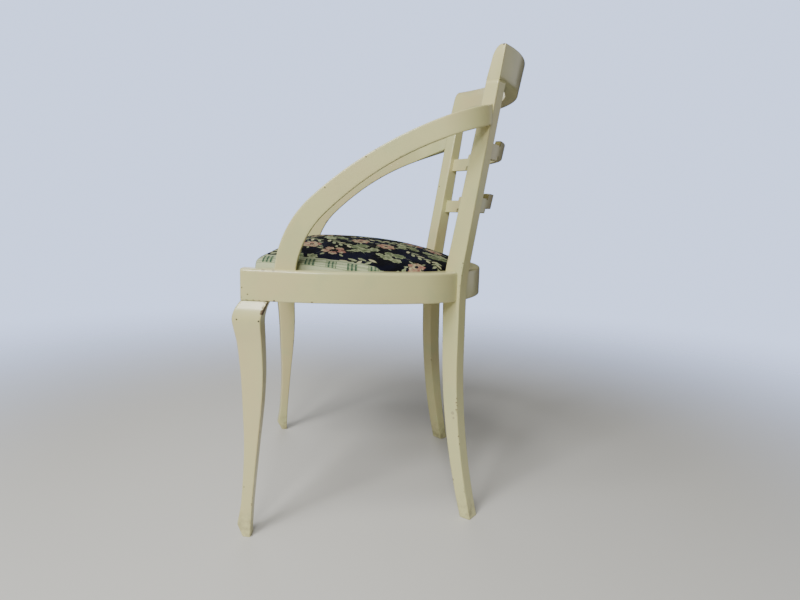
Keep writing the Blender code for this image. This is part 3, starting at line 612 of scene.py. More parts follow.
@dataclass
class Arms:
    """Two arms, boards that rise from the frame in two arcs and bend round to the posts."""

    plan: SeatPlan
    posts: RearPosts
    base_width: float = 0.034
    middle_width: float = 0.0302
    end_width: float = 0.0333
    thickness: float = 0.021
    inset: float = 0.007
    base_y: float = -0.1676
    start_angle: float = math.radians(84.0)
    break_angle: float = math.radians(44.0)
    front_radius: float = 0.165
    top_radius: float = 0.586
    round: float = 0.0020
    sink: float = 0.004
    post_sink_share: float = 0.03
    upright_from: float = 0.93
    level_height: float = 0.030
    front_rings: int = 50
    top_rings: int = 110

    def __post_init__(self) -> None:
        """Settles the height at which the arm meets the post, which depends on its own length."""
        self.side_x = float(self.plan.curve(self.plan.turn_at_y(self.base_y, 0.0), 0.0)[0]) - self.inset
        base_z = self.plan.top(self.base_y)
        self.rise = base_z + self.front_radius * (math.cos(self.break_angle) - math.cos(self.start_angle))
        self.run = self.front_radius * (math.sin(self.start_angle) - math.sin(self.break_angle))
        self.end_height = self.rise
        for _ in range(8):
            left = self._length() - self.run
            end = math.asin(max(0.0, math.sin(self.break_angle) - left / self.top_radius))
            self.end_height = self.rise + self.top_radius * (math.cos(end) - math.cos(self.break_angle))

    def _bend(self) -> tuple[float, float]:
        """Radius of the bend in plan, and the straight length before it."""
        end = self.posts.side(self.end_height, 1.0)
        radius = (self.side_x - end[0]) / (1.0 - math.sin(self.posts.turn))
        return radius, end[1] - radius * math.cos(self.posts.turn) - self.base_y

    def _length(self) -> float:
        """Length in plan from the arm's base to the post."""
        radius, straight = self._bend()
        return straight + radius * (0.5 * math.pi - self.posts.turn)

    def _width(self, share: Array) -> Array:
        """Width along the arm: a straight taper with a sine-squared waist.

        Args:
            share: Share of the arm's length.

        Returns:
            The width at each share.
        """
        ends = self.base_width + (self.end_width - self.base_width) * share
        waist = self.middle_width - (self.base_width + self.end_width) / 2.0
        return ends + waist * np.sin(math.pi * share) ** 2

    def build(self, paint: PaintFinish) -> None:
        """Makes both arms from rings across their path, level at the frame and upright at the post.

        Args:
            paint: Finish of the arms.
        """
        front = np.linspace(self.start_angle, self.break_angle, self.front_rings)
        length = self._length() + self.posts.width * self.post_sink_share
        last = math.asin(math.sin(self.break_angle) - (length - self.run) / self.top_radius)
        top = np.linspace(self.break_angle, last, self.top_rings)[1:]
        base_z = self.plan.top(self.base_y)
        distance = np.r_[self.front_radius * (math.sin(self.start_angle) - np.sin(front)),
                         self.run + self.top_radius * (math.sin(self.break_angle) - np.sin(top))]
        height = np.r_[base_z + self.front_radius * (np.cos(front) - math.cos(self.start_angle)),
                       self.rise + self.top_radius * (np.cos(top) - math.cos(self.break_angle))]
        angle = np.r_[front, top]
        share = distance / length
        half = column(self._width(share)) / 2.0
        section = Section.rounded((self.round,) * 4, steps=5)
        inset, offset = section.place(0.0, self.thickness, -half, half)
        upright = 1.0 - eased(share, self.upright_from, 1.0)
        level = eased(height, base_z, base_z + self.level_height)
        along = column(distance) - offset * column(np.sin(angle) * upright)
        lift = offset * column(np.cos(angle) * level)
        rings = self._bent(along, inset, column(height) + lift)
        foot = rings[:1] - np.array([0.0, 0.0, self.sink])
        for side in Side:
            Skin(np.concatenate([foot, rings]), section.wear).paint(paint, "arm", side)

    def _bent(self, along: Array, inset: Array, z: Array) -> Array:
        """Wraps the flat arm round its plan: straight along Y, then an arc that ends square to the post.

        Args:
            along: Distance in plan from the arm's base.
            inset: Distance from the outer face.
            z: Height.

        Returns:
            The points of the arm.
        """
        radius, straight = self._bend()
        turn = 0.5 * math.pi - np.clip((along - straight) / radius, 0.0, None)
        x = self.side_x - radius + (radius - inset) * np.sin(turn)
        y = self.base_y + np.minimum(along, straight) + (radius - inset) * np.cos(turn)
        return stack(x, y, z)


@dataclass
class Back:
    """Crest rail and two slats, arcs through the posts' outer faces."""

    posts: RearPosts
    crest_top: float = 0.8012
    crest_radius: float = 0.338
    crest_top_thickness: float = 0.0065
    crest_taper: float = 0.0032
    crest_round_height: float = 0.024
    crest_swell: float = 0.0012
    crest_foot: tuple[float, float] = (0.001, 0.0012)
    # heights on the rear face: two up from the posts' tops and one down from the crest's top
    crest_rear: tuple[float, float, float] = (0.0005, 0.012, 0.006)
    slat_radius: float = 0.325
    slat_bottoms: tuple[float, float] = (0.5345, 0.6250)
    slat_height: float = 0.0262
    slat_step: float = 0.0083
    slat_raised_reach: float = 0.137
    slat_thickness: float = 0.010
    slat_setback: float = 0.005
    slat_round: float = 0.0011
    slat_tenon_turn: float = 0.012
    slat_margin: float = 0.0015
    slat_step_turn: float = 0.01
    slat_rise_turns: tuple[float, float] = (math.radians(0.16), math.radians(0.03))
    edge_round: float = 0.0014
    end_round: float = 0.0007
    end_wear: float = 0.6
    crest_lift: float = 0.0002
    rings: int = 120

    def _curve(self, angle: Array, z: Array, radius: float, inset: Array) -> Array:
        """Arc at each height whose circle passes through the posts' outer faces, moved in.

        Args:
            angle: Angle from the middle of the back, in radians.
            z: Height.
            radius: Radius of the arc's outer face.
            inset: Distance from the outer face.

        Returns:
            The points of the arc.
        """
        outer = self.posts.outer(z)
        centre = outer[..., 1] - np.sqrt(radius ** 2 - outer[..., 0] ** 2)
        return stack((radius - inset) * np.sin(angle), centre + (radius - inset) * np.cos(angle), z)

    def _end_angle(self, z: Array, radius: float, inset: Array, along: float) -> Array:
        """Angle at which such an arc meets a side of the post.

        The side is a plane through the point (a, b) with normal (cos t, -sin t), so on the circle
        sin(angle - t) = (a cos t - (b - centre) sin t) / radius.

        Args:
            z: Height.
            radius: Radius of the arc's outer face.
            inset: Distance from the outer face.
            along: 1 for the post's front side, -1 for its rear side.

        Returns:
            The angle from the middle of the back, in radians.
        """
        face = self.posts.side(z, along)
        outer = self.posts.outer(z)
        centre = outer[..., 1] - np.sqrt(radius ** 2 - outer[..., 0] ** 2)
        turn = self.posts.turn
        across = face[..., 0] * math.cos(turn) - (face[..., 1] - centre) * math.sin(turn)
        return turn + np.arcsin(across / (radius - inset))

    def _crest_section(self) -> tuple[Array, Array, Array]:
        """Section of the crest: upright behind, an elliptical shoulder in front.

        Returns:
            Inset, rise above the posts' tops and wear of each point round the crest.
        """
        height = self.crest_top - self.posts.top
        depth, edge = self.posts.top_depth, self.edge_round
        quarter = np.linspace(0.0, 0.5 * math.pi, 6)
        back = (edge * (1.0 - np.cos(quarter)), height - edge * (1.0 - np.sin(quarter)))
        shoulder = depth - self.crest_taper - self.crest_top_thickness
        roll = np.linspace(0.5 * math.pi, 0.0, 16)
        front_u = self.crest_top_thickness + shoulder * np.cos(roll)
        front_v = height - self.crest_round_height * (1.0 - np.sin(roll))
        low = height - self.crest_round_height
        foot_in, foot_up = self.crest_foot
        bottom, middle, under_top = self.crest_rear
        inset = np.r_[0.0, 0.0, 0.0, back[0], front_u,
                      depth - self.crest_swell, depth, depth - foot_in, foot_in]
        rise = np.r_[bottom, middle, height - under_top, back[1], front_v, low * 0.4, foot_up,
                     self.crest_lift, self.crest_lift]
        wear = np.r_[self.end_wear, 0.0, 0.0, np.ones(len(quarter)), np.linspace(0.8, 0.0, len(roll)),
                     0.0, 1.0, 0.5, 0.5]
        return inset, rise, wear

    def _crest(self) -> Skin:
        """Crest rail, cut flush with the posts' front sides.

        Returns:
            The rail's surface.
        """
        inset, rise, wear = self._crest_section()
        z = self.posts.top + np.maximum(rise, self.crest_lift)
        reach = self._end_angle(z, self.crest_radius, inset, 1.0)
        angle = column(np.linspace(-1.0, 1.0, self.rings)) * reach
        points = self._curve(angle, np.broadcast_to(z, angle.shape), self.crest_radius, inset)
        return Skin(points, wear, self.end_round, self.end_round, self.end_wear, self.end_wear)

    def _slat(self, bottom: float) -> Skin:
        """Curved slat, let into the posts, with a raised middle between two small steps.

        Args:
            bottom: Height of the slat's underside at its ends.

        Returns:
            The slat's surface, with more rings near the steps.
        """
        section = Section.rounded((self.slat_round,) * 4, margin=self.slat_margin, steps=3)
        step = math.asin(self.slat_raised_reach / (self.slat_radius - self.slat_setback))
        end = self._end_angle(np.array(bottom), self.slat_radius, np.array(0.0), -1.0)
        reach = float(end) + self.slat_tenon_turn
        near_step = np.radians(np.array([-0.30, -0.16, -0.08, -0.03, 0.0, 0.03, 0.12, 0.30]))
        middle = np.linspace(0.0, step - self.slat_step_turn, 50)
        rest = np.linspace(step + self.slat_step_turn, reach, 14)
        half = np.unique(np.r_[middle, step - near_step, rest])
        angle = column(np.r_[-half[:0:-1], half])
        before, after = self.slat_rise_turns
        raised = 1.0 - eased(np.abs(angle), step - before, step + after)
        low = bottom + self.slat_step * raised
        back = self.slat_setback + self.slat_thickness
        inset, z = section.place(self.slat_setback, back, low, low + self.slat_height)
        inset = np.broadcast_to(inset, z.shape)
        return Skin(self._curve(angle, z, self.slat_radius, inset), section.wear)

    def build(self, paint: PaintFinish) -> None:
        """Makes the crest and the slats.

        Args:
            paint: Finish of the back.
        """
        self._crest().paint(paint, "crest_rail")
        for word, bottom in zip(("lower", "upper"), self.slat_bottoms):
            self._slat(bottom).paint(paint, f"back_slat_{word}")


# Upholstered seat


@dataclass
class Patch:
    """The part of the cloth round one motif, seen from the motif's place and turn.

    Attributes:
        fields: Fields of the whole cloth, by name.
        near: Which points of the cloth are in the patch.
        a: Coordinate of those points along the motif, in metres.
        b: Coordinate across it, in metres.
        scale: Size of the motif, 1 for the usual one.
    """

    fields: dict[str, Array]
    near: Array
    a: Array
    b: Array
    scale: float

    def join(self, name: str, value: Array) -> None:
        """Keeps the nearer of the old shapes and the new one."""
        self.fields[name][self.near] = np.minimum(self.fields[name][self.near], value)

    def shade(self, leaf: Array, tone: float) -> None:
        """Gives the inside of a leaf its tone."""
        self.fields["tone"][self.near] = np.where(leaf < 0.0, tone, self.fields["tone"][self.near])


@dataclass(frozen=True)
class Print:
    """Flowered print of the cloth, as distance fields in plan: negative inside a motif.

    A motif is drawn once as a formula and repeated at places and turns that a seeded draw gives.
    """

    seed: int = 11
    spread: float = 0.057
    row_share: float = 0.82
    jitter: float = 0.009
    sizes: tuple[float, float] = (0.85, 1.15)
    far: float = 0.02
    stem_radius: float = 0.045
    stem_reach: float = 0.030
    stem_width: float = 0.00045
    leaf_length: float = 0.0165
    leaf_width: float = 0.0062
    leaf_lean: float = 0.75
    lean_growth: float = 9.0
    midrib_width: float = 0.0003
    midrib_margin: float = 0.001
    lobes: int = 7
    ray_spin: float = 4.5
    ray_width: float = 0.0007
    ray_margin: float = 0.0016
    cluster_turn: float = 0.9
    spray_leaves: int = 9
    spray_spacing: float = 0.0072
    spray_bend: float = 0.09
    blossom_size: float = 0.0078
    blossoms: int = 5
    eye_radius: float = 0.0026
    eye_width: float = 0.0005
    blossom_ring: tuple[float, float] = (0.013, 0.011)
    bract_ring: tuple[float, float] = (0.018, 0.016)
    bract_turn: float = 0.6
    bract_size: tuple[float, float] = (0.012, 0.0045)
    # place and size of the lobed leaves in a cluster
    cluster: tuple[tuple[float, float, float], ...] = (
        (0.0095, 0.0050, 0.0130), (-0.0120, -0.0040, 0.0120), (-0.0010, 0.0175, 0.0100),
        (0.0040, -0.0130, 0.0090), (0.0210, -0.0060, 0.0075),
    )

    def _local(self, x: Array, y: Array, cx: float, cy: float, turn: float) -> tuple[Array, Array]:
        """Coordinates seen from a motif's place and turn."""
        dx, dy = x - cx, y - cy
        return dx * math.cos(turn) + dy * math.sin(turn), dy * math.cos(turn) - dx * math.sin(turn)

    def _leaf(self, a: Array, b: Array, length: float, width: float) -> Array:
        """Pointed leaf from its stalk along a: a lens, the overlap of two circles.

        Args:
            a: Coordinate along the leaf.
            b: Coordinate across it.
            length: Length of the leaf.
            width: Its width.

        Returns:
            Distance outside the leaf.
        """
        radius = (length * length / 4.0 + width * width / 4.0) / width
        offset = radius - width / 2.0
        along = a - length / 2.0
        return np.maximum(np.hypot(along, b - offset), np.hypot(along, b + offset)) - radius

    def _fan(self, a: Array, b: Array, size: float, lobes: int) -> Array:
        """Lobed leaf: a circle whose radius swells and shrinks with the angle.

        Args:
            a: Coordinate along the leaf.
            b: Coordinate across it.
            size: Radius of the leaf.
            lobes: Number of its lobes.

        Returns:
            Distance outside the leaf.
        """
        radius = np.hypot(a, b)
        angle = np.arctan2(b, a)
        rim = size * (0.70 + 0.30 * np.abs(np.cos(angle * lobes / 2.0)))
        return radius - rim * (1.0 - 0.35 * np.clip(-np.cos(angle), 0.0, 1.0) ** 3)

    def fields(self, x: Array, y: Array) -> dict[str, Array]:
        """Draws the print.

        Args:
            x: Plan coordinate of each point of the cloth, in metres.
            y: Plan coordinate of each point of the cloth, in metres.

        Returns:
            A distance field in metres for each colour of the print, and a tone for the leaves.
        """
        draw = np.random.default_rng(self.seed)
        out = {name: np.full(x.shape, self.far) for name in ("sage", "vein", "cream", "stem", "pink")}
        out["tone"] = np.zeros(x.shape)
        kinds = (self._leaves, self._spray, self._bunch)
        for row in (*range(-4, 5), -5):
            for place in range(-4, 5):
                cx = (place + 0.5 * (row % 2)) * self.spread + draw.uniform(-self.jitter, self.jitter)
                cy = row * self.spread * self.row_share + draw.uniform(-self.jitter, self.jitter)
                turn = draw.uniform(0.0, 2.0 * math.pi)
                near = np.hypot(x - cx, y - cy) < self.spread
                if near.any():
                    a, b = self._local(x[near], y[near], cx, cy, turn)
                    patch = Patch(out, near, a, b, draw.uniform(*self.sizes))
                    self._stem(patch)
                    kinds[(row * 2 + place) % 3](patch)
        return out

    def _stem(self, patch: Patch) -> None:
        """Adds a thin stem, a short arc.

        Args:
            patch: Where the stem goes.
        """
        radius = self.stem_radius * patch.scale
        arc = np.abs(np.hypot(patch.a, patch.b - radius) - radius) - self.stem_width
        patch.join("stem", np.where(np.abs(patch.a) < self.stem_reach * patch.scale, arc, self.far))

    def _leaves(self, patch: Patch) -> None:
        """Adds a cluster of lobed leaves with rays for veins.

        Args:
            patch: Where the cluster goes.
        """
        scale = patch.scale
        for index, (along, across, size) in enumerate(self.cluster):
            turn = self.cluster_turn * index
            a, b = self._local(patch.a, patch.b, along * scale, across * scale, turn)
            fan = self._fan(a, b, size * scale, self.lobes)
            patch.join("sage", fan)
            rays = np.abs(np.sin(np.arctan2(b, a) * self.ray_spin)) * np.hypot(a, b) - self.ray_width
            patch.join("vein", np.maximum(rays, fan + self.ray_margin))
            patch.shade(fan, 0.25 + 0.5 * (index % 2))

    def _spray(self, patch: Patch) -> None:
        """Adds a bent spray of small leaves that lean to either side.

        Args:
            patch: Where the spray goes.
        """
        scale = patch.scale
        for index in range(self.spray_leaves):
            at = (index - self.spray_leaves // 2) * self.spray_spacing * scale
            lean = (self.leaf_lean if index % 2 else -self.leaf_lean) + at * self.lean_growth
            a, b = self._local(patch.a, patch.b, at, at * at / (self.spray_bend * scale), lean)
            leaf = self._leaf(a, b, self.leaf_length * scale, self.leaf_width * scale)
            patch.join("sage" if index % 3 else "cream", leaf)
            patch.shade(leaf, 0.1 * (index % 4))
            midrib = np.abs(b) - self.midrib_width
            patch.join("vein", np.maximum(midrib, leaf + self.midrib_margin))

    def _bunch(self, patch: Patch) -> None:
        """Adds a ring of blossoms with an eye each, and small leaves between them.

        Args:
            patch: Where the bunch goes.
        """
        def on_ring(ring: tuple[float, float], spin: float) -> tuple[Array, Array]:
            """Coordinates seen from a place on an oval ring."""
            return self._local(patch.a, patch.b, ring[0] * patch.scale * math.cos(spin),
                               ring[1] * patch.scale * math.sin(spin), spin)

        for index in range(self.blossoms):
            spin = 2.0 * math.pi * index / self.blossoms
            a, b = on_ring(self.blossom_ring, spin)
            petals = 0.72 + 0.28 * np.abs(np.cos(2.5 * np.arctan2(b, a)))
            patch.join("pink", np.hypot(a, b) - self.blossom_size * petals)
            patch.join("vein", np.abs(np.hypot(a, b) - self.eye_radius) - self.eye_width)
            length, width = self.bract_size
            a, b = on_ring(self.bract_ring, spin + self.bract_turn)
            patch.join("sage", self._leaf(a, b, length * patch.scale, width))


@dataclass
class Seat:
    """Drop-in seat: a crowned pad whose cloth is pulled down round the edge of its board."""

    plan: SeatPlan
    front_setback: float = 0.019
    gap: float = 0.001
    board_gap: float = 0.0002
    cloth: float = 0.0006
    board_bottom: float = -0.0116
    board_top: float = -0.0024
    edge_base: float = -0.0020
    crown: float = 0.047
    front_rise: float = 0.0115
    rear_rise: float = 0.0030
    peak_y: float = -0.0906
    fullness: float = 2.2
    roll: float = 0.013
    bulge: float = 0.0022
    pull_depth: float = 0.00055
    pull_place: float = 0.010
    pull_spread: float = 0.016
    slow_depth: float = 0.0009
    slow_reach: float = 0.2
    hem_lap: float = 0.0020
    along_curve: int = 520
    along_front: int = 170
    inward: int = 130
    band_from: tuple[float, float] = (0.194, -0.205)
    band_to: tuple[float, float] = (0.222, 0.045)

    def _outline(self, outset: float) -> Array:
        """Closed plan outline in even steps: the frame's curve, then a straight front.

        Args:
            outset: Distance outside the board's edge, in metres.

        Returns:
            The points, with the two front corners among them.
        """
        inset = self.plan.thickness + self.gap - outset
        front_y = self.plan.front_y + self.front_setback - outset
        reach = float(self.plan.turn_at_y(front_y, inset))
        curve = np.stack(self.plan.curve(np.linspace(-reach, reach, 1500), inset), 1)
        length = np.r_[0.0, np.cumsum(np.linalg.norm(np.diff(curve, axis=0), axis=1))]
        even = np.linspace(0.0, length[-1], self.along_curve)
        curve = np.stack([np.interp(even, length, curve[:, k]) for k in range(2)], 1)
        line = np.linspace(curve[-1], curve[0], self.along_front)[1:-1]
        return np.concatenate([curve, line])

    def _softened(self, outline: Array, passes: int) -> Array:
        """Rounds an outline's corners by averaging neighbours.

        Args:
            outline: Points of the outline.
            passes: How many times to average.

        Returns:
            The rounded outline.
        """
        for _ in range(passes):
            outline = 0.5 * outline + 0.25 * (np.roll(outline, 1, 0) + np.roll(outline, -1, 0))
        return outline

    def _level(self, outline: Array, height: float) -> Array:
        """The outline as a ring at a height above the frame's top."""
        return stack(outline[:, 0], outline[:, 1], self.plan.top(outline[:, 1]) + height)

    def _surface(self) -> Array:
        """Rings of the cloth, from the board's top round its edge and up to the crown.

        The height is a quarter ellipse over the roll at the edge plus a crown that rises as
        1 - (1 - s)^f of the share s of the way to the peak.

        Returns:
            The points, as an array of rings by points by 3.
        """
        inner, outer = self._outline(self.board_gap), self._outline(self.board_gap + self.cloth)
        skirt = [self._level(inner, self.board_top), self._level(inner, self.board_bottom),
                 self._level(outer, self.board_bottom - self.board_gap),
                 self._level(outer, self.board_top - self.hem_lap)]
        edge = self._softened(outer, 12)
        peak = np.array([0.0, self.peak_y])
        reach = np.linalg.norm(edge - peak, axis=1)
        share = np.linspace(0.0, 1.0, self.inward)[:, None] ** 1.25
        distance = share * reach
        plan = edge + (peak - edge) * share[..., None]
        toward = (edge - peak) / reach[:, None]
        lean = np.clip(distance / self.roll, 0.0, 1.0)
        rolled = np.sqrt(np.clip(1.0 - (1.0 - lean) ** 2, 0.0, 1.0))
        swell = self.bulge * np.sin(math.pi * lean) ** 1.5
        frontness = (self.plan.back_y - edge[:, 1]) / (self.plan.back_y - self.plan.front_y)
        rise = self.rear_rise + (self.front_rise - self.rear_rise) * frontness
        crown = rise + (self.crown - rise) * (1.0 - (1.0 - share) ** self.fullness)
        plan = plan + toward * swell[..., None]
        height = self.edge_base + rolled * (crown - self.edge_base) + self._puckers(edge, distance)
        top = stack(plan[..., 0], plan[..., 1], self.plan.top(plan[..., 1]) + height)
        return np.concatenate([np.stack(skirt), top])

    def _puckers(self, edge: Array, distance: Array) -> Array:
        """Shallow pulls in the cloth: waves round the edge that fade inwards, and a slow unevenness.

        Args:
            edge: Points of the cloth's edge.
            distance: Distance of each point of the cloth from the edge.

        Returns:
            Height to add at each point.
        """
        turn = np.linspace(0.0, 2.0 * math.pi, len(edge), endpoint=False)
        pulls = 0.55 * np.sin(37.0 * turn + 2.0 * np.sin(5.0 * turn)) + 0.45 * np.sin(61.0 * turn + 1.3)
        fade = np.exp(-((distance - self.pull_place) / self.pull_spread) ** 2)
        inwards = np.clip(distance / self.slow_reach, 0.0, 1.0)
        slow = np.sin(3.0 * turn + 0.7) * np.sin(math.pi * inwards)
        return self.pull_depth * pulls * fade + self.slow_depth * slow

    def build(self, cloth: ClothFinish) -> None:
        """Makes the pad and paints its print into attributes.

        Args:
            cloth: Finish of the pad.
        """
        surface = self._surface()
        rings = surface[:-1]
        count, around = rings.shape[:2]
        points = np.concatenate([rings.reshape(-1, 3), surface[-1:, 0]])
        index = np.arange(count * around).reshape(count, around)
        beside = np.roll(index, -1, axis=1)
        quads = np.stack([index[:-1], beside[:-1], beside[1:], index[1:]], -1).reshape(-1, 4)
        crown = np.stack([index[-1], beside[-1], np.full(around, count * around)], -1)
        mesh = bpy.data.meshes.new("upholstered_seat")
        mesh.from_pydata(points.tolist(), [], quads.tolist() + crown.tolist() + [index[0][::-1].tolist()])
        x, y = points[:, 0], points[:, 1]
        height = points[:, 2] - self.plan.top(y)
        flat_x, flat_y = self._unrolled(x, y, height)
        for name, values in (Print().fields(flat_x, flat_y) | self._band(x, y, height)).items():
            attribute = mesh.attributes.new(name, "FLOAT", "POINT")
            attribute.data.foreach_set("value", values.astype(np.float32))
        pad = as_object("upholstered_seat", mesh)
        dress(pad, cloth, "seat_pad")

    def _unrolled(self, x: Array, y: Array, height: Array) -> tuple[Array, Array]:
        """Lays the cloth flat: each point moves out by what it has gone down the edge.

        Args:
            x: Plan coordinate of each point.
            y: Plan coordinate of each point.
            height: Height of each point above the frame's top.

        Returns:
            Plan coordinates of the flat cloth.
        """
        reach = np.maximum(np.hypot(x, y - self.peak_y), self.roll)
        outwards = 1.0 + np.maximum(self.front_rise - height, 0.0) / reach
        return x * outwards, self.peak_y + (y - self.peak_y) * outwards

    def _band(self, x: Array, y: Array, height: Array) -> dict[str, Array]:
        """Places the pale striped border, which lies beyond a straight line.

        Args:
            x: Plan coordinate of each point.
            y: Plan coordinate of each point.
            height: Height of each point above the frame's top.

        Returns:
            Distance beyond the line in plan, the same and down the cloth, and distance along it.
        """
        start, end = np.array(self.band_from), np.array(self.band_to)
        direction = (end - start) / np.linalg.norm(end - start)
        dx, dy = x - start[0], y - start[1]
        beyond = dx * direction[1] - dy * direction[0]
        return {"band": beyond, "band_depth": beyond + np.maximum(self.front_rise - height, 0.0),
                "band_along": dx * direction[0] + dy * direction[1]}


# Shader nodes


class Value:
    """A shader socket that carries a number, with arithmetic that adds Math nodes."""

    def __init__(self, shader: Shader, socket: bpy.types.NodeSocket) -> None:
        """Wraps an output socket of the shader."""
        self.shader, self.socket = shader, socket

    def _math(self, operation: str, *values: Any) -> Value:
        """Adds a Math node."""
        inputs = dict(enumerate(values))
        return self.shader.node("ShaderNodeMath", {"operation": operation}, inputs)

    def __add__(self, other: Any) -> Value:
        """Sum."""
        return self._math("ADD", self, other)

    __radd__ = __add__

    def __sub__(self, other: Any) -> Value:
        """Difference."""
        return self._math("SUBTRACT", self, other)

    def __rsub__(self, other: Any) -> Value:
        """Difference, the other way round."""
        return self._math("SUBTRACT", other, self)

    def __mul__(self, other: Any) -> Value:
        """Product."""
        return self._math("MULTIPLY", self, other)

    __rmul__ = __mul__

    def sine(self) -> Value:
        """Sine."""
        return self._math("SINE", self)

    def at_least(self, other: Any) -> Value:
        """The larger of the two."""
        return self._math("MAXIMUM", self, other)

    def step(self, low: float, high: float) -> Value:
        """Smooth step from 0 at low to 1 at high; it falls if low is above high.

        Args:
            low: Value at which the step is 0.
            high: Value at which the step is 1.

        Returns:
            The step.
        """
        settings = {"interpolation_type": "SMOOTHSTEP"}
        ends = (low, high, 0.0, 1.0) if low < high else (high, low, 1.0, 0.0)
        return self.shader.node("ShaderNodeMapRange", settings, dict(enumerate((self, *ends))))


class Shader:
    """A material's node tree and the one method that adds nodes to it."""

    def __init__(self, name: str) -> None:
        """Starts a material with its Principled shader.

        Args:
            name: Name of the material.
        """
        self.material = bpy.data.materials.new(name)
        self.material.use_nodes = True
        self.tree = self.material.node_tree
        self.surface = self.tree.nodes["Principled BSDF"]

    def _connect(self, socket: bpy.types.NodeSocket, value: Any) -> None:
        """Links a socket to a value, or sets its number.

        Args:
            socket: Input socket.
            value: A Value, a number or a colour.
        """
        if isinstance(value, Value):
            self.tree.links.new(value.socket, socket)
        elif isinstance(value, tuple) and len(value) == 3 and socket.type == "RGBA":
            socket.default_value = (*value, 1.0)
        else:
            socket.default_value = value

    def node(self, kind: str, settings: dict[str, Any] | None = None, inputs: dict[Any, Any] | None = None,
             output: Any = 0) -> Value:
        """Adds a node.

        Args:
            kind: Type of the node.
            settings: Its properties, set before its sockets.
            inputs: Values or links of its sockets, by name or number.
            output: Name or number of the socket to return.

        Returns:
            The output socket.
        """
        made = self.tree.nodes.new(kind)
        for name, value in (settings or {}).items():
            setattr(made, name, value)
        for key, value in (inputs or {}).items():
            self._connect(made.inputs[key], value)
        return Value(self, made.outputs[output])

    def place(self) -> Value:
        """Object coordinates."""
        return self.node("ShaderNodeTexCoord", output="Object")

    def attribute(self, name: str) -> Value:
        """A number stored on the mesh."""
        return self.node("ShaderNodeAttribute", {"attribute_name": name}, output="Fac")

    def scaled(self, vector: Value, scale: tuple[float, float, float]) -> Value:
        """Coordinates multiplied axis by axis."""
        return self.node("ShaderNodeMapping", None, {"Vector": vector, "Scale": scale})

    def noise(self, vector: Value, scale: float, detail: float = 2.0, roughness: float = 0.5) -> Value:
        """Fractal noise from 0 to 1."""
        return self.node("ShaderNodeTexNoise", None,
                         {"Vector": vector, "Scale": scale, "Detail": detail, "Roughness": roughness})

    def mix(self, share: Any, first: Any, second: Any) -> Value:
        """Colour between two colours."""
        return self.node("ShaderNodeMix", {"data_type": "RGBA"}, {0: share, 6: first, 7: second}, output=2)

    def finish(self, inputs: dict[str, Any], height: Value | None = None, depth: float = 0.001) -> None:
        """Sets the Principled shader.

        Args:
            inputs: Values or links of its sockets.
            height: Relief, from 0 to 1.
            depth: Height of the relief, in metres.
        """
        if height is not None:
            bump = self.node("ShaderNodeBump", None, {"Strength": 1.0, "Distance": depth, "Height": height})
            inputs = inputs | {"Normal": bump}
        for name, value in inputs.items():
            self._connect(self.surface.inputs[name], value)


@dataclass(frozen=True)
class Damage:
    """A damaged place or a patch of painted shade on the paint: where it is, how large, and of which kind."""

    at: tuple[float, float, float]
    size: float
    kind: Mark


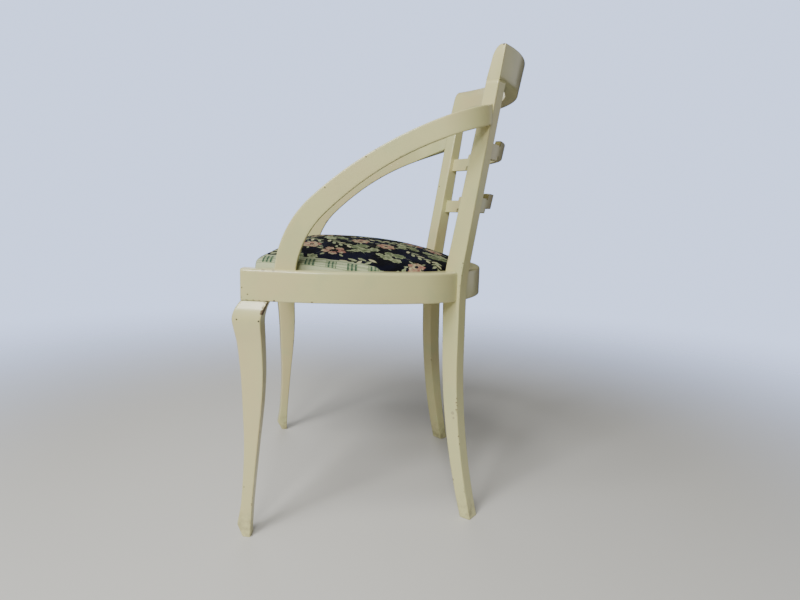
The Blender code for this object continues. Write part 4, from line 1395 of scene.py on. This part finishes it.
@dataclass(frozen=True)
class PaintFinish:
    """Old cream enamel laid on with a brush, with chips, specks, scuffs, floor dirt and patches of painted
    shade.
    """

    slot: str = "paint"
    cream: Rgb = (0.590, 0.570, 0.280)
    yellowed: Rgb = (0.605, 0.530, 0.275)
    greyed: Rgb = (0.510, 0.530, 0.270)
    dirt: Rgb = (0.150, 0.115, 0.065)
    pit: Rgb = (0.045, 0.035, 0.018)
    wood: Rgb = (0.100, 0.055, 0.027)
    scuff: Rgb = (0.330, 0.290, 0.180)
    # painted shade: dark olive for the shaded step ends of the back slats
    painted_shade: Rgb = (0.150, 0.125, 0.020)
    roughness: float = 0.27
    coat: float = 0.5
    coat_roughness: float = 0.16
    relief: float = 0.00026
    damage: tuple[Damage, ...] = ()

    def material(self) -> bpy.types.Material:
        """Builds the paint.

        Returns:
            The material.
        """
        shader = Shader("brushed_cream_paint")
        place = shader.place()
        wander = shader.noise(place, 7.0, 3.0)
        colour = shader.mix(wander.step(0.35, 0.70), self.cream, self.yellowed)
        colour = shader.mix(shader.noise(place, 23.0, 3.0).step(0.48, 0.75) * 0.60, colour, self.greyed)
        strokes = self._strokes(shader)
        colour = shader.mix(strokes.step(0.45, 0.70) * 0.22, colour, self.greyed)
        chips = self._edge_chips(shader, place)
        scuffs, holes, broken, painted_shade = (self._marks(shader, place, kind)
                                        for kind in (Mark.SCUFF, Mark.HOLE, Mark.CHIP, Mark.PAINTED_SHADE))
        bare = chips.at_least(broken)
        colour = shader.mix(self._floor_dirt(shader, place), colour, self.dirt)
        colour = shader.mix(scuffs * 0.7, colour, self.scuff)
        # Painted shade: olive patches where the slats' step ends lie in shadow.
        colour = shader.mix(painted_shade * 0.9, colour, self.painted_shade)
        colour = shader.mix(bare, colour, self._bare_wood(shader, place))
        colour = shader.mix(self._specks(shader, place), colour, self.dirt)
        colour = shader.mix(holes, colour, self.pit)
        height = strokes * 0.30 + wander * 0.20 - bare - holes * 1.5 - scuffs * 0.3
        # The bare wood and the painted shade are left without gloss.
        dull = bare.at_least(painted_shade)
        roughness = self.roughness + 0.10 * shader.noise(place, 40.0) + dull * 0.35 + scuffs * 0.2
        shader.finish({"Base Color": colour, "Roughness": roughness, "Specular IOR Level": 0.45,
                       "Coat Weight": self.coat - dull * self.coat, "Coat Roughness": self.coat_roughness},
                      height, self.relief)
        return shader.material

    def _strokes(self, shader: Shader) -> Value:
        """Brush marks along each piece: noise drawn out along its length.

        Args:
            shader: Shader of the paint.

        Returns:
            Depth of the marks from 0 to 1.
        """
        along = shader.node("ShaderNodeUVMap", {"uv_map": "UVMap"})
        fine = shader.noise(shader.scaled(along, (9.0, 620.0, 1.0)), 1.0, 4.0, 0.6)
        broad = shader.noise(shader.scaled(along, (5.0, 150.0, 1.0)), 1.0, 2.0)
        return fine * 0.65 + broad * 0.35

    def _edge_chips(self, shader: Shader, place: Value) -> Value:
        """Small breaks in the paint along worn arrises, in a few places only.

        Args:
            shader: Shader of the paint.
            place: Coordinates.

        Returns:
            Mask of the breaks.
        """
        few = shader.noise(place, 17.0, 2.0).step(0.60, 0.66)
        ragged = shader.noise(place, 210.0, 4.0, 0.65) + shader.attribute("wear").step(0.2, 1.0) * 0.18
        return few * ragged.step(0.735, 0.765)

    def _specks(self, shader: Shader, place: Value) -> Value:
        """Sparse dark specks, one in a cell here and there.

        Args:
            shader: Shader of the paint.
            place: Coordinates.

        Returns:
            Mask of the specks.
        """
        cells = {"Vector": place, "Scale": 55.0, "Randomness": 1.0}
        distance = shader.node("ShaderNodeTexVoronoi", None, cells, output="Distance")
        chance = shader.node("ShaderNodeTexVoronoi", None, cells, output="Color")
        rare = shader.node("ShaderNodeSeparateColor", None, {0: chance}).step(0.945, 0.955)
        return rare * distance.step(0.042, 0.020) * 0.8

    def _floor_dirt(self, shader: Shader, place: Value) -> Value:
        """Dirt that thins out above the floor."""
        height = shader.node("ShaderNodeSeparateXYZ", None, {0: place}, output="Z")
        return height.step(0.055, 0.0) * shader.noise(place, 90.0, 4.0).step(0.35, 0.75) * 0.55

    def _marks(self, shader: Shader, place: Value, kind: Mark) -> Value:
        """Marks of one kind, as ragged spots round their places.

        Args:
            shader: Shader of the paint.
            place: Coordinates.
            kind: Kind of the marks.

        Returns:
            Mask of the marks.
        """
        ragged = shader.noise(place, 260.0, 3.0, 0.6)
        total: Any = ragged * 0.0
        for damage in self.damage:
            if damage.kind is kind:
                distance = shader.node("ShaderNodeVectorMath", {"operation": "DISTANCE"},
                                       {0: place, 1: damage.at}, output="Value")
                spread = distance + (ragged - 0.5) * damage.size * kind.raggedness
                total = total.at_least(spread.step(damage.size, damage.size * 0.75))
        return total

    def _bare_wood(self, shader: Shader, place: Value) -> Value:
        """Brown wood with dirt in its grain."""
        return shader.mix(shader.noise(place, 400.0, 3.0), self.wood, self.dirt)


@dataclass(frozen=True)
class WoodFinish:
    """Unpainted wood of the hidden pieces."""

    slot: str = "bare_wood"
    light: Rgb = (0.340, 0.215, 0.115)
    dark: Rgb = (0.200, 0.115, 0.055)

    def material(self) -> bpy.types.Material:
        """Builds the wood: grain as noise drawn out across the chair.

        Returns:
            The material.
        """
        shader = Shader("bare_wood")
        grain = shader.noise(shader.scaled(shader.place(), (9.0, 160.0, 160.0)), 1.0, 5.0, 0.6)
        colour = shader.mix(grain.step(0.35, 0.70), self.light, self.dark)
        shader.finish({"Base Color": colour, "Roughness": 0.62 + grain * 0.2}, grain, 0.0003)
        return shader.material


@dataclass(frozen=True)
class SteelFinish:
    """Dull zinc-plated steel of the screws."""

    slot: str = "steel"
    zinc: Rgb = (0.47, 0.46, 0.43)
    rust: Rgb = (0.20, 0.09, 0.04)

    def material(self) -> bpy.types.Material:
        """Builds the steel, with a little rust.

        Returns:
            The material.
        """
        shader = Shader("dull_steel")
        rusty = shader.noise(shader.place(), 420.0, 3.0).step(0.50, 0.70)
        colour = shader.mix(rusty, self.zinc, self.rust)
        shader.finish({"Base Color": colour, "Metallic": 1.0 - rusty * 0.8, "Roughness": 0.38 + rusty * 0.4},
                      rusty, 0.0001)
        return shader.material


@dataclass(frozen=True)
class ClothFinish:
    """Woven cotton with a dark flowered print and a pale striped border."""

    slot: str = "fabric"
    navy: Rgb = (0.0060, 0.0070, 0.0240)
    black: Rgb = (0.0030, 0.0032, 0.0060)
    sage: Rgb = (0.150, 0.190, 0.100)
    pale_sage: Rgb = (0.400, 0.440, 0.260)
    vein: Rgb = (0.040, 0.055, 0.035)
    cream: Rgb = (0.600, 0.590, 0.350)
    pink: Rgb = (0.400, 0.190, 0.150)
    border: Rgb = (0.520, 0.560, 0.370)
    border_green: Rgb = (0.170, 0.240, 0.130)
    bar: Rgb = (0.035, 0.085, 0.060)
    thread: float = 0.0007
    relief: float = 0.00018
    print_edge: float = 0.00025
    ribbon: tuple[float, float] = (0.0056, 0.0262)
    line_depths: tuple[float, ...] = (0.0032, 0.0056, 0.0128, 0.0150, 0.0215, 0.0262)
    line_width: float = 0.0011
    bar_spacing: float = 0.0062
    group_spacing: float = 0.034

    def material(self) -> bpy.types.Material:
        """Builds the cloth from the print's distance fields.

        Returns:
            The material.
        """
        shader = Shader("flowered_cloth")
        place = shader.place()
        blur = shader.noise(place, 900.0, 2.0) * 0.0010 - 0.0005
        ragged = shader.noise(place, 480.0, 2.0, 0.6) * 0.0038 - 0.0019
        ground = shader.mix(shader.noise(place, 14.0, 3.0).step(0.42, 0.58), self.navy, self.black)
        tone = shader.noise(place, 130.0, 3.0).step(0.40, 0.65)
        rim = shader.attribute("sage").step(-0.0036, -0.0008)
        shade = (shader.attribute("tone") + tone * 0.6 - rim * 0.5).step(0.0, 0.9)
        leaf = shader.mix(shade, self.pale_sage, self.sage)
        petal = shader.mix(tone * 0.75, self.pink, self.cream)
        layers = (("stem", self.pale_sage, blur, 0.85), ("sage", leaf, ragged, 0.97),
                  ("cream", self.cream, blur, 0.95), ("pink", petal, ragged, 0.95),
                  ("vein", self.vein, blur, 0.70))
        colour: Any = ground
        for name, paint, edge, strength in layers:
            inside = (shader.attribute(name) + edge).step(self.print_edge, -self.print_edge)
            colour = shader.mix(inside * strength, colour, paint)
        colour = shader.mix(shader.attribute("band").step(0.0, 0.0006), colour, self._border(shader))
        weave = self._weave(shader, place)
        colour = shader.mix(weave * 0.16, colour, self.black)
        shader.finish({"Base Color": colour, "Roughness": 0.84 + weave * 0.12, "Specular IOR Level": 0.10},
                      weave, self.relief)
        return shader.material

    def _border(self, shader: Shader) -> Value:
        """Pale border: a ribbon with dark lines along it, and groups of dark bars across it.

        Args:
            shader: Shader of the cloth.

        Returns:
            Colour of the border.
        """
        depth, along = shader.attribute("band_depth"), shader.attribute("band_along")
        inner, outer = (0.3 * self.line_width) ** 2, (0.8 * self.line_width) ** 2
        lines: Any = shader.attribute("band").step(0.0014, 0.0006) * 0.6
        for centre in self.line_depths:
            away = depth - centre
            lines = lines.at_least((away * away).step(outer, inner))
        top, bottom = self.ribbon
        ribbon = depth.step(top, top + 0.0008) * depth.step(bottom, bottom - 0.0008)
        group = (along * (2.0 * math.pi / self.group_spacing)).sine().step(-0.10, 0.10)
        bars = (along * (2.0 * math.pi / self.bar_spacing)).sine().step(-0.10, 0.30)
        faded = shader.noise(shader.place(), 300.0, 2.0).step(0.15, 0.60)
        colour = shader.mix(ribbon * (0.10 + group * 0.45), self.border, self.border_green)
        colour = shader.mix(lines * (0.35 + faded * 0.60), colour, self.border_green)
        return shader.mix(group * bars * ribbon * (0.30 + faded * 0.65), colour, self.bar)

    def _weave(self, shader: Shader, place: Value) -> Value:
        """Plain weave: the product of two sines turned into raised squares.

        Args:
            shader: Shader of the cloth.
            place: Coordinates.

        Returns:
            Height of the weave from 0 to 1.
        """
        turns = 2.0 * math.pi / self.thread
        parts = [shader.node("ShaderNodeSeparateXYZ", None, {0: place}, output=axis) for axis in ("X", "Y")]
        over = (parts[0] * turns).sine() * (parts[1] * turns).sine()
        return over.step(-0.6, 0.6)


def dress(item: bpy.types.Object, finish: Any, node: str) -> None:
    """Gives a piece its finish and its body, and hides the CAD node that it stands for.

    Args:
        item: The piece.
        finish: Finish with a slot and a material method.
        node: CAD node that the piece replaces.
    """
    item.data.materials.append(material_of(finish))
    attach(item, BODY)
    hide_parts(node)
    LOG.info("%s: %d vertices", item.name, len(item.data.vertices))


MATERIALS: dict[Any, bpy.types.Material] = {}


def material_of(finish: Any) -> bpy.types.Material:
    """The finish's material, made once."""
    if finish not in MATERIALS:
        MATERIALS[finish] = finish.material()
    return MATERIALS[finish]


def repaint_node(name: str, finish: Any) -> None:
    """Gives a CAD node that stays its finish.

    Args:
        name: Name of the node.
        finish: Finish with a material method.
    """
    node = frame["nodes"][name]
    if node.material_slots:
        node.material_slots[0].material = material_of(finish)
    else:
        node.data.materials.append(material_of(finish))


# Studio


@dataclass(frozen=True)
class Lamp:
    """A square area light: its name, place, width, power and colour."""

    name: str
    place: tuple[float, float, float]
    size: float
    power: float
    colour: Rgb


@dataclass(frozen=True)
class Studio:
    """Camera at the photograph's viewpoint, pale floor and soft lights."""

    eye: tuple[float, float, float] = (1.22279, -0.05371, 0.53591)
    yaw: float = -0.06966
    pitch: float = 0.14349
    roll: float = 0.02575
    focal_pixels: float = 619.36
    image_width: float = 800.0
    sensor: float = 36.0
    floor_size: float = 14.0
    floor_colour: Rgb = (0.62, 0.61, 0.59)
    floor_fade: tuple[float, float] = (0.6, 2.4)
    backdrop: Rgb = (1.10, 1.32, 1.95)
    ambient: Rgb = (0.075, 0.075, 0.072)
    aim: tuple[float, float, float] = (0.0, 0.0, 0.4)
    lamps: tuple[Lamp, ...] = (
        Lamp("key", (2.45, -0.47, 1.83), 0.7, 44.0, (1.0, 1.0, 0.95)),
        Lamp("glint", (1.85, -1.35, 2.15), 0.85, 54.0, (1.0, 1.0, 0.96)),
        Lamp("ceiling", (0.9, -0.9, 2.7), 0.7, 24.0, (1.0, 1.0, 0.97)),
        Lamp("window", (0.3, -2.8, 1.5), 1.8, 10.0, (0.90, 0.96, 1.0)),
        Lamp("side fill", (-1.4, 2.6, 0.9), 1.8, 7.0, (1.0, 0.98, 0.94)),
        Lamp("rear fill", (-2.7, -0.6, 1.5), 1.8, 16.0, (0.97, 0.99, 1.0)),
    )

    def camera(self) -> None:
        """Makes the camera: heading turned by yaw from -X, then pitched down and rolled."""
        forward = Vector((-math.cos(self.pitch) * math.cos(self.yaw),
                          -math.cos(self.pitch) * math.sin(self.yaw), -math.sin(self.pitch)))
        right = forward.cross(Vector((0.0, 0.0, 1.0))).normalized()
        up = right.cross(forward)
        across = right * math.cos(self.roll) + up * math.sin(self.roll)
        above = up * math.cos(self.roll) - right * math.sin(self.roll)
        data = bpy.data.cameras.new("camera")
        data.sensor_fit, data.sensor_width = "HORIZONTAL", self.sensor
        data.lens = self.focal_pixels / self.image_width * self.sensor
        data.clip_start = 0.01
        item = bpy.data.objects.new("camera", data)
        turn = Matrix((across, above, -forward)).transposed().to_4x4()
        item.matrix_world = Matrix.Translation(self.eye) @ turn
        bpy.context.collection.objects.link(item)
        bpy.context.scene.camera = item

    def floor(self) -> None:
        """Makes the floor, which fades into the air far from the chair."""
        half = self.floor_size / 2.0
        corners = [(-half, -half, 0.0), (half, -half, 0.0), (half, half, 0.0), (-half, half, 0.0)]
        mesh = bpy.data.meshes.new("studio_floor")
        mesh.from_pydata(corners, [], [(0, 1, 2, 3)])
        item = bpy.data.objects.new("studio_floor", mesh)
        bpy.context.collection.objects.link(item)
        shader = Shader("pale_floor")
        length = {"operation": "LENGTH"}
        distance = shader.node("ShaderNodeVectorMath", length, {0: shader.place()}, output="Value")
        near, far = self.floor_fade
        shader.finish({"Base Color": self.floor_colour, "Roughness": 0.55, "Alpha": distance.step(far, near)})
        mesh.materials.append(shader.material)

    def light(self, lamp: Lamp) -> None:
        """Adds a light aimed at the seat.

        Args:
            lamp: The light's values.
        """
        data = bpy.data.lights.new(lamp.name, "AREA")
        data.size, data.energy, data.color = lamp.size, lamp.power, lamp.colour
        item = bpy.data.objects.new(lamp.name, data)
        item.location = lamp.place
        item.rotation_mode = "QUATERNION"
        item.rotation_quaternion = (Vector(self.aim) - Vector(lamp.place)).to_track_quat("-Z", "Y")
        bpy.context.collection.objects.link(item)

    def build(self) -> None:
        """Makes the whole studio."""
        self.camera()
        self.floor()
        for lamp in self.lamps:
            self.light(lamp)
        self.air()

    def air(self) -> None:
        """Surrounds the scene with pale air, which lights the chair less than it shows."""
        world = bpy.data.worlds.new("studio_air")
        world.use_nodes = True
        tree = world.node_tree
        rays = tree.nodes.new("ShaderNodeLightPath")
        choice = tree.nodes.new("ShaderNodeMix")
        choice.data_type = "RGBA"
        colours = [socket for socket in choice.inputs if socket.type == "RGBA"]
        colours[0].default_value, colours[1].default_value = (*self.ambient, 1.0), (*self.backdrop, 1.0)
        tree.links.new(rays.outputs["Is Camera Ray"], choice.inputs[0])
        tree.links.new(choice.outputs[2], tree.nodes["Background"].inputs["Color"])
        bpy.context.scene.world = world


# The marks that show: place, radius and kind
DAMAGE_AND_SHADE = (
    Damage((0.2470, -0.1945, 0.3845), 0.0075, Mark.CHIP),
    Damage((0.2485, -0.1975, 0.3785), 0.0085, Mark.CHIP),
    Damage((0.2515, -0.1995, 0.3730), 0.0075, Mark.CHIP),
    Damage((0.2573, -0.2013, 0.3742), 0.0036, Mark.CHIP),
    Damage((0.2582, -0.2024, 0.3712), 0.0028, Mark.CHIP),
    Damage((0.2518, -0.2420, 0.3603), 0.0014, Mark.HOLE),
    Damage((0.2595, -0.2068, 0.3590), 0.0017, Mark.HOLE),
    Damage((0.2431, -0.2349, 0.4100), 0.0010, Mark.HOLE),
    Damage((0.2448, -0.2260, 0.3995), 0.0011, Mark.HOLE),
    Damage((0.2513, -0.1838, 0.3903), 0.0016, Mark.CHIP),
    Damage((0.2550, -0.1244, 0.3895), 0.0014, Mark.CHIP),
    Damage((0.2475, -0.2010, 0.4390), 0.0035, Mark.SCUFF),
    Damage((0.2500, -0.1850, 0.4385), 0.0030, Mark.SCUFF),
    Damage((0.2459, -0.0437, 0.6165), 0.0014, Mark.CHIP),
    Damage((0.2459, -0.1061, 0.5678), 0.0012, Mark.CHIP),
    Damage((0.2111, 0.1708, 0.8000), 0.0018, Mark.CHIP),
    Damage((-0.1775, 0.1256, 0.5913), 0.0014, Mark.HOLE),
    Damage((0.2439, -0.2081, 0.1735), 0.0014, Mark.CHIP),
    Damage((0.2505, -0.2335, 0.0822), 0.0010, Mark.HOLE),
    Damage((0.1853, 0.1160, 0.1869), 0.0034, Mark.SCUFF),
    Damage((0.1867, 0.1179, 0.1785), 0.0026, Mark.SCUFF),
    Damage((0.1882, 0.1197, 0.4120), 0.0011, Mark.CHIP),
    # Painted shade, not damage: the shaded step ends of the two slats.
    Damage((0.1352, 0.1852, 0.6560), 0.0085, Mark.PAINTED_SHADE),
    Damage((0.1384, 0.1668, 0.5645), 0.0085, Mark.PAINTED_SHADE),
)


def main() -> None:
    """Builds the studio and the chair."""
    logging.basicConfig(level=logging.INFO, format="%(name)s: %(message)s")
    Studio().build()
    plan = SeatPlan()
    posts = RearPosts(plan)
    paint = PaintFinish(damage=DAMAGE_AND_SHADE)
    posts.build(paint)
    SeatFrame(plan, posts).build(paint)
    FrontLegs(plan).build(paint)
    Arms(plan, posts).build(paint)
    Back(posts).build(paint)
    Seat(plan).build(ClothFinish())
    hidden = {finish.slot: finish for finish in (WoodFinish(), SteelFinish())}
    for part in frame["record"]["subparts"]:
        if part["material_slot"] in hidden:
            repaint_node(part["node"], hidden[part["material_slot"]])


if __name__ == "__main__":
    main()
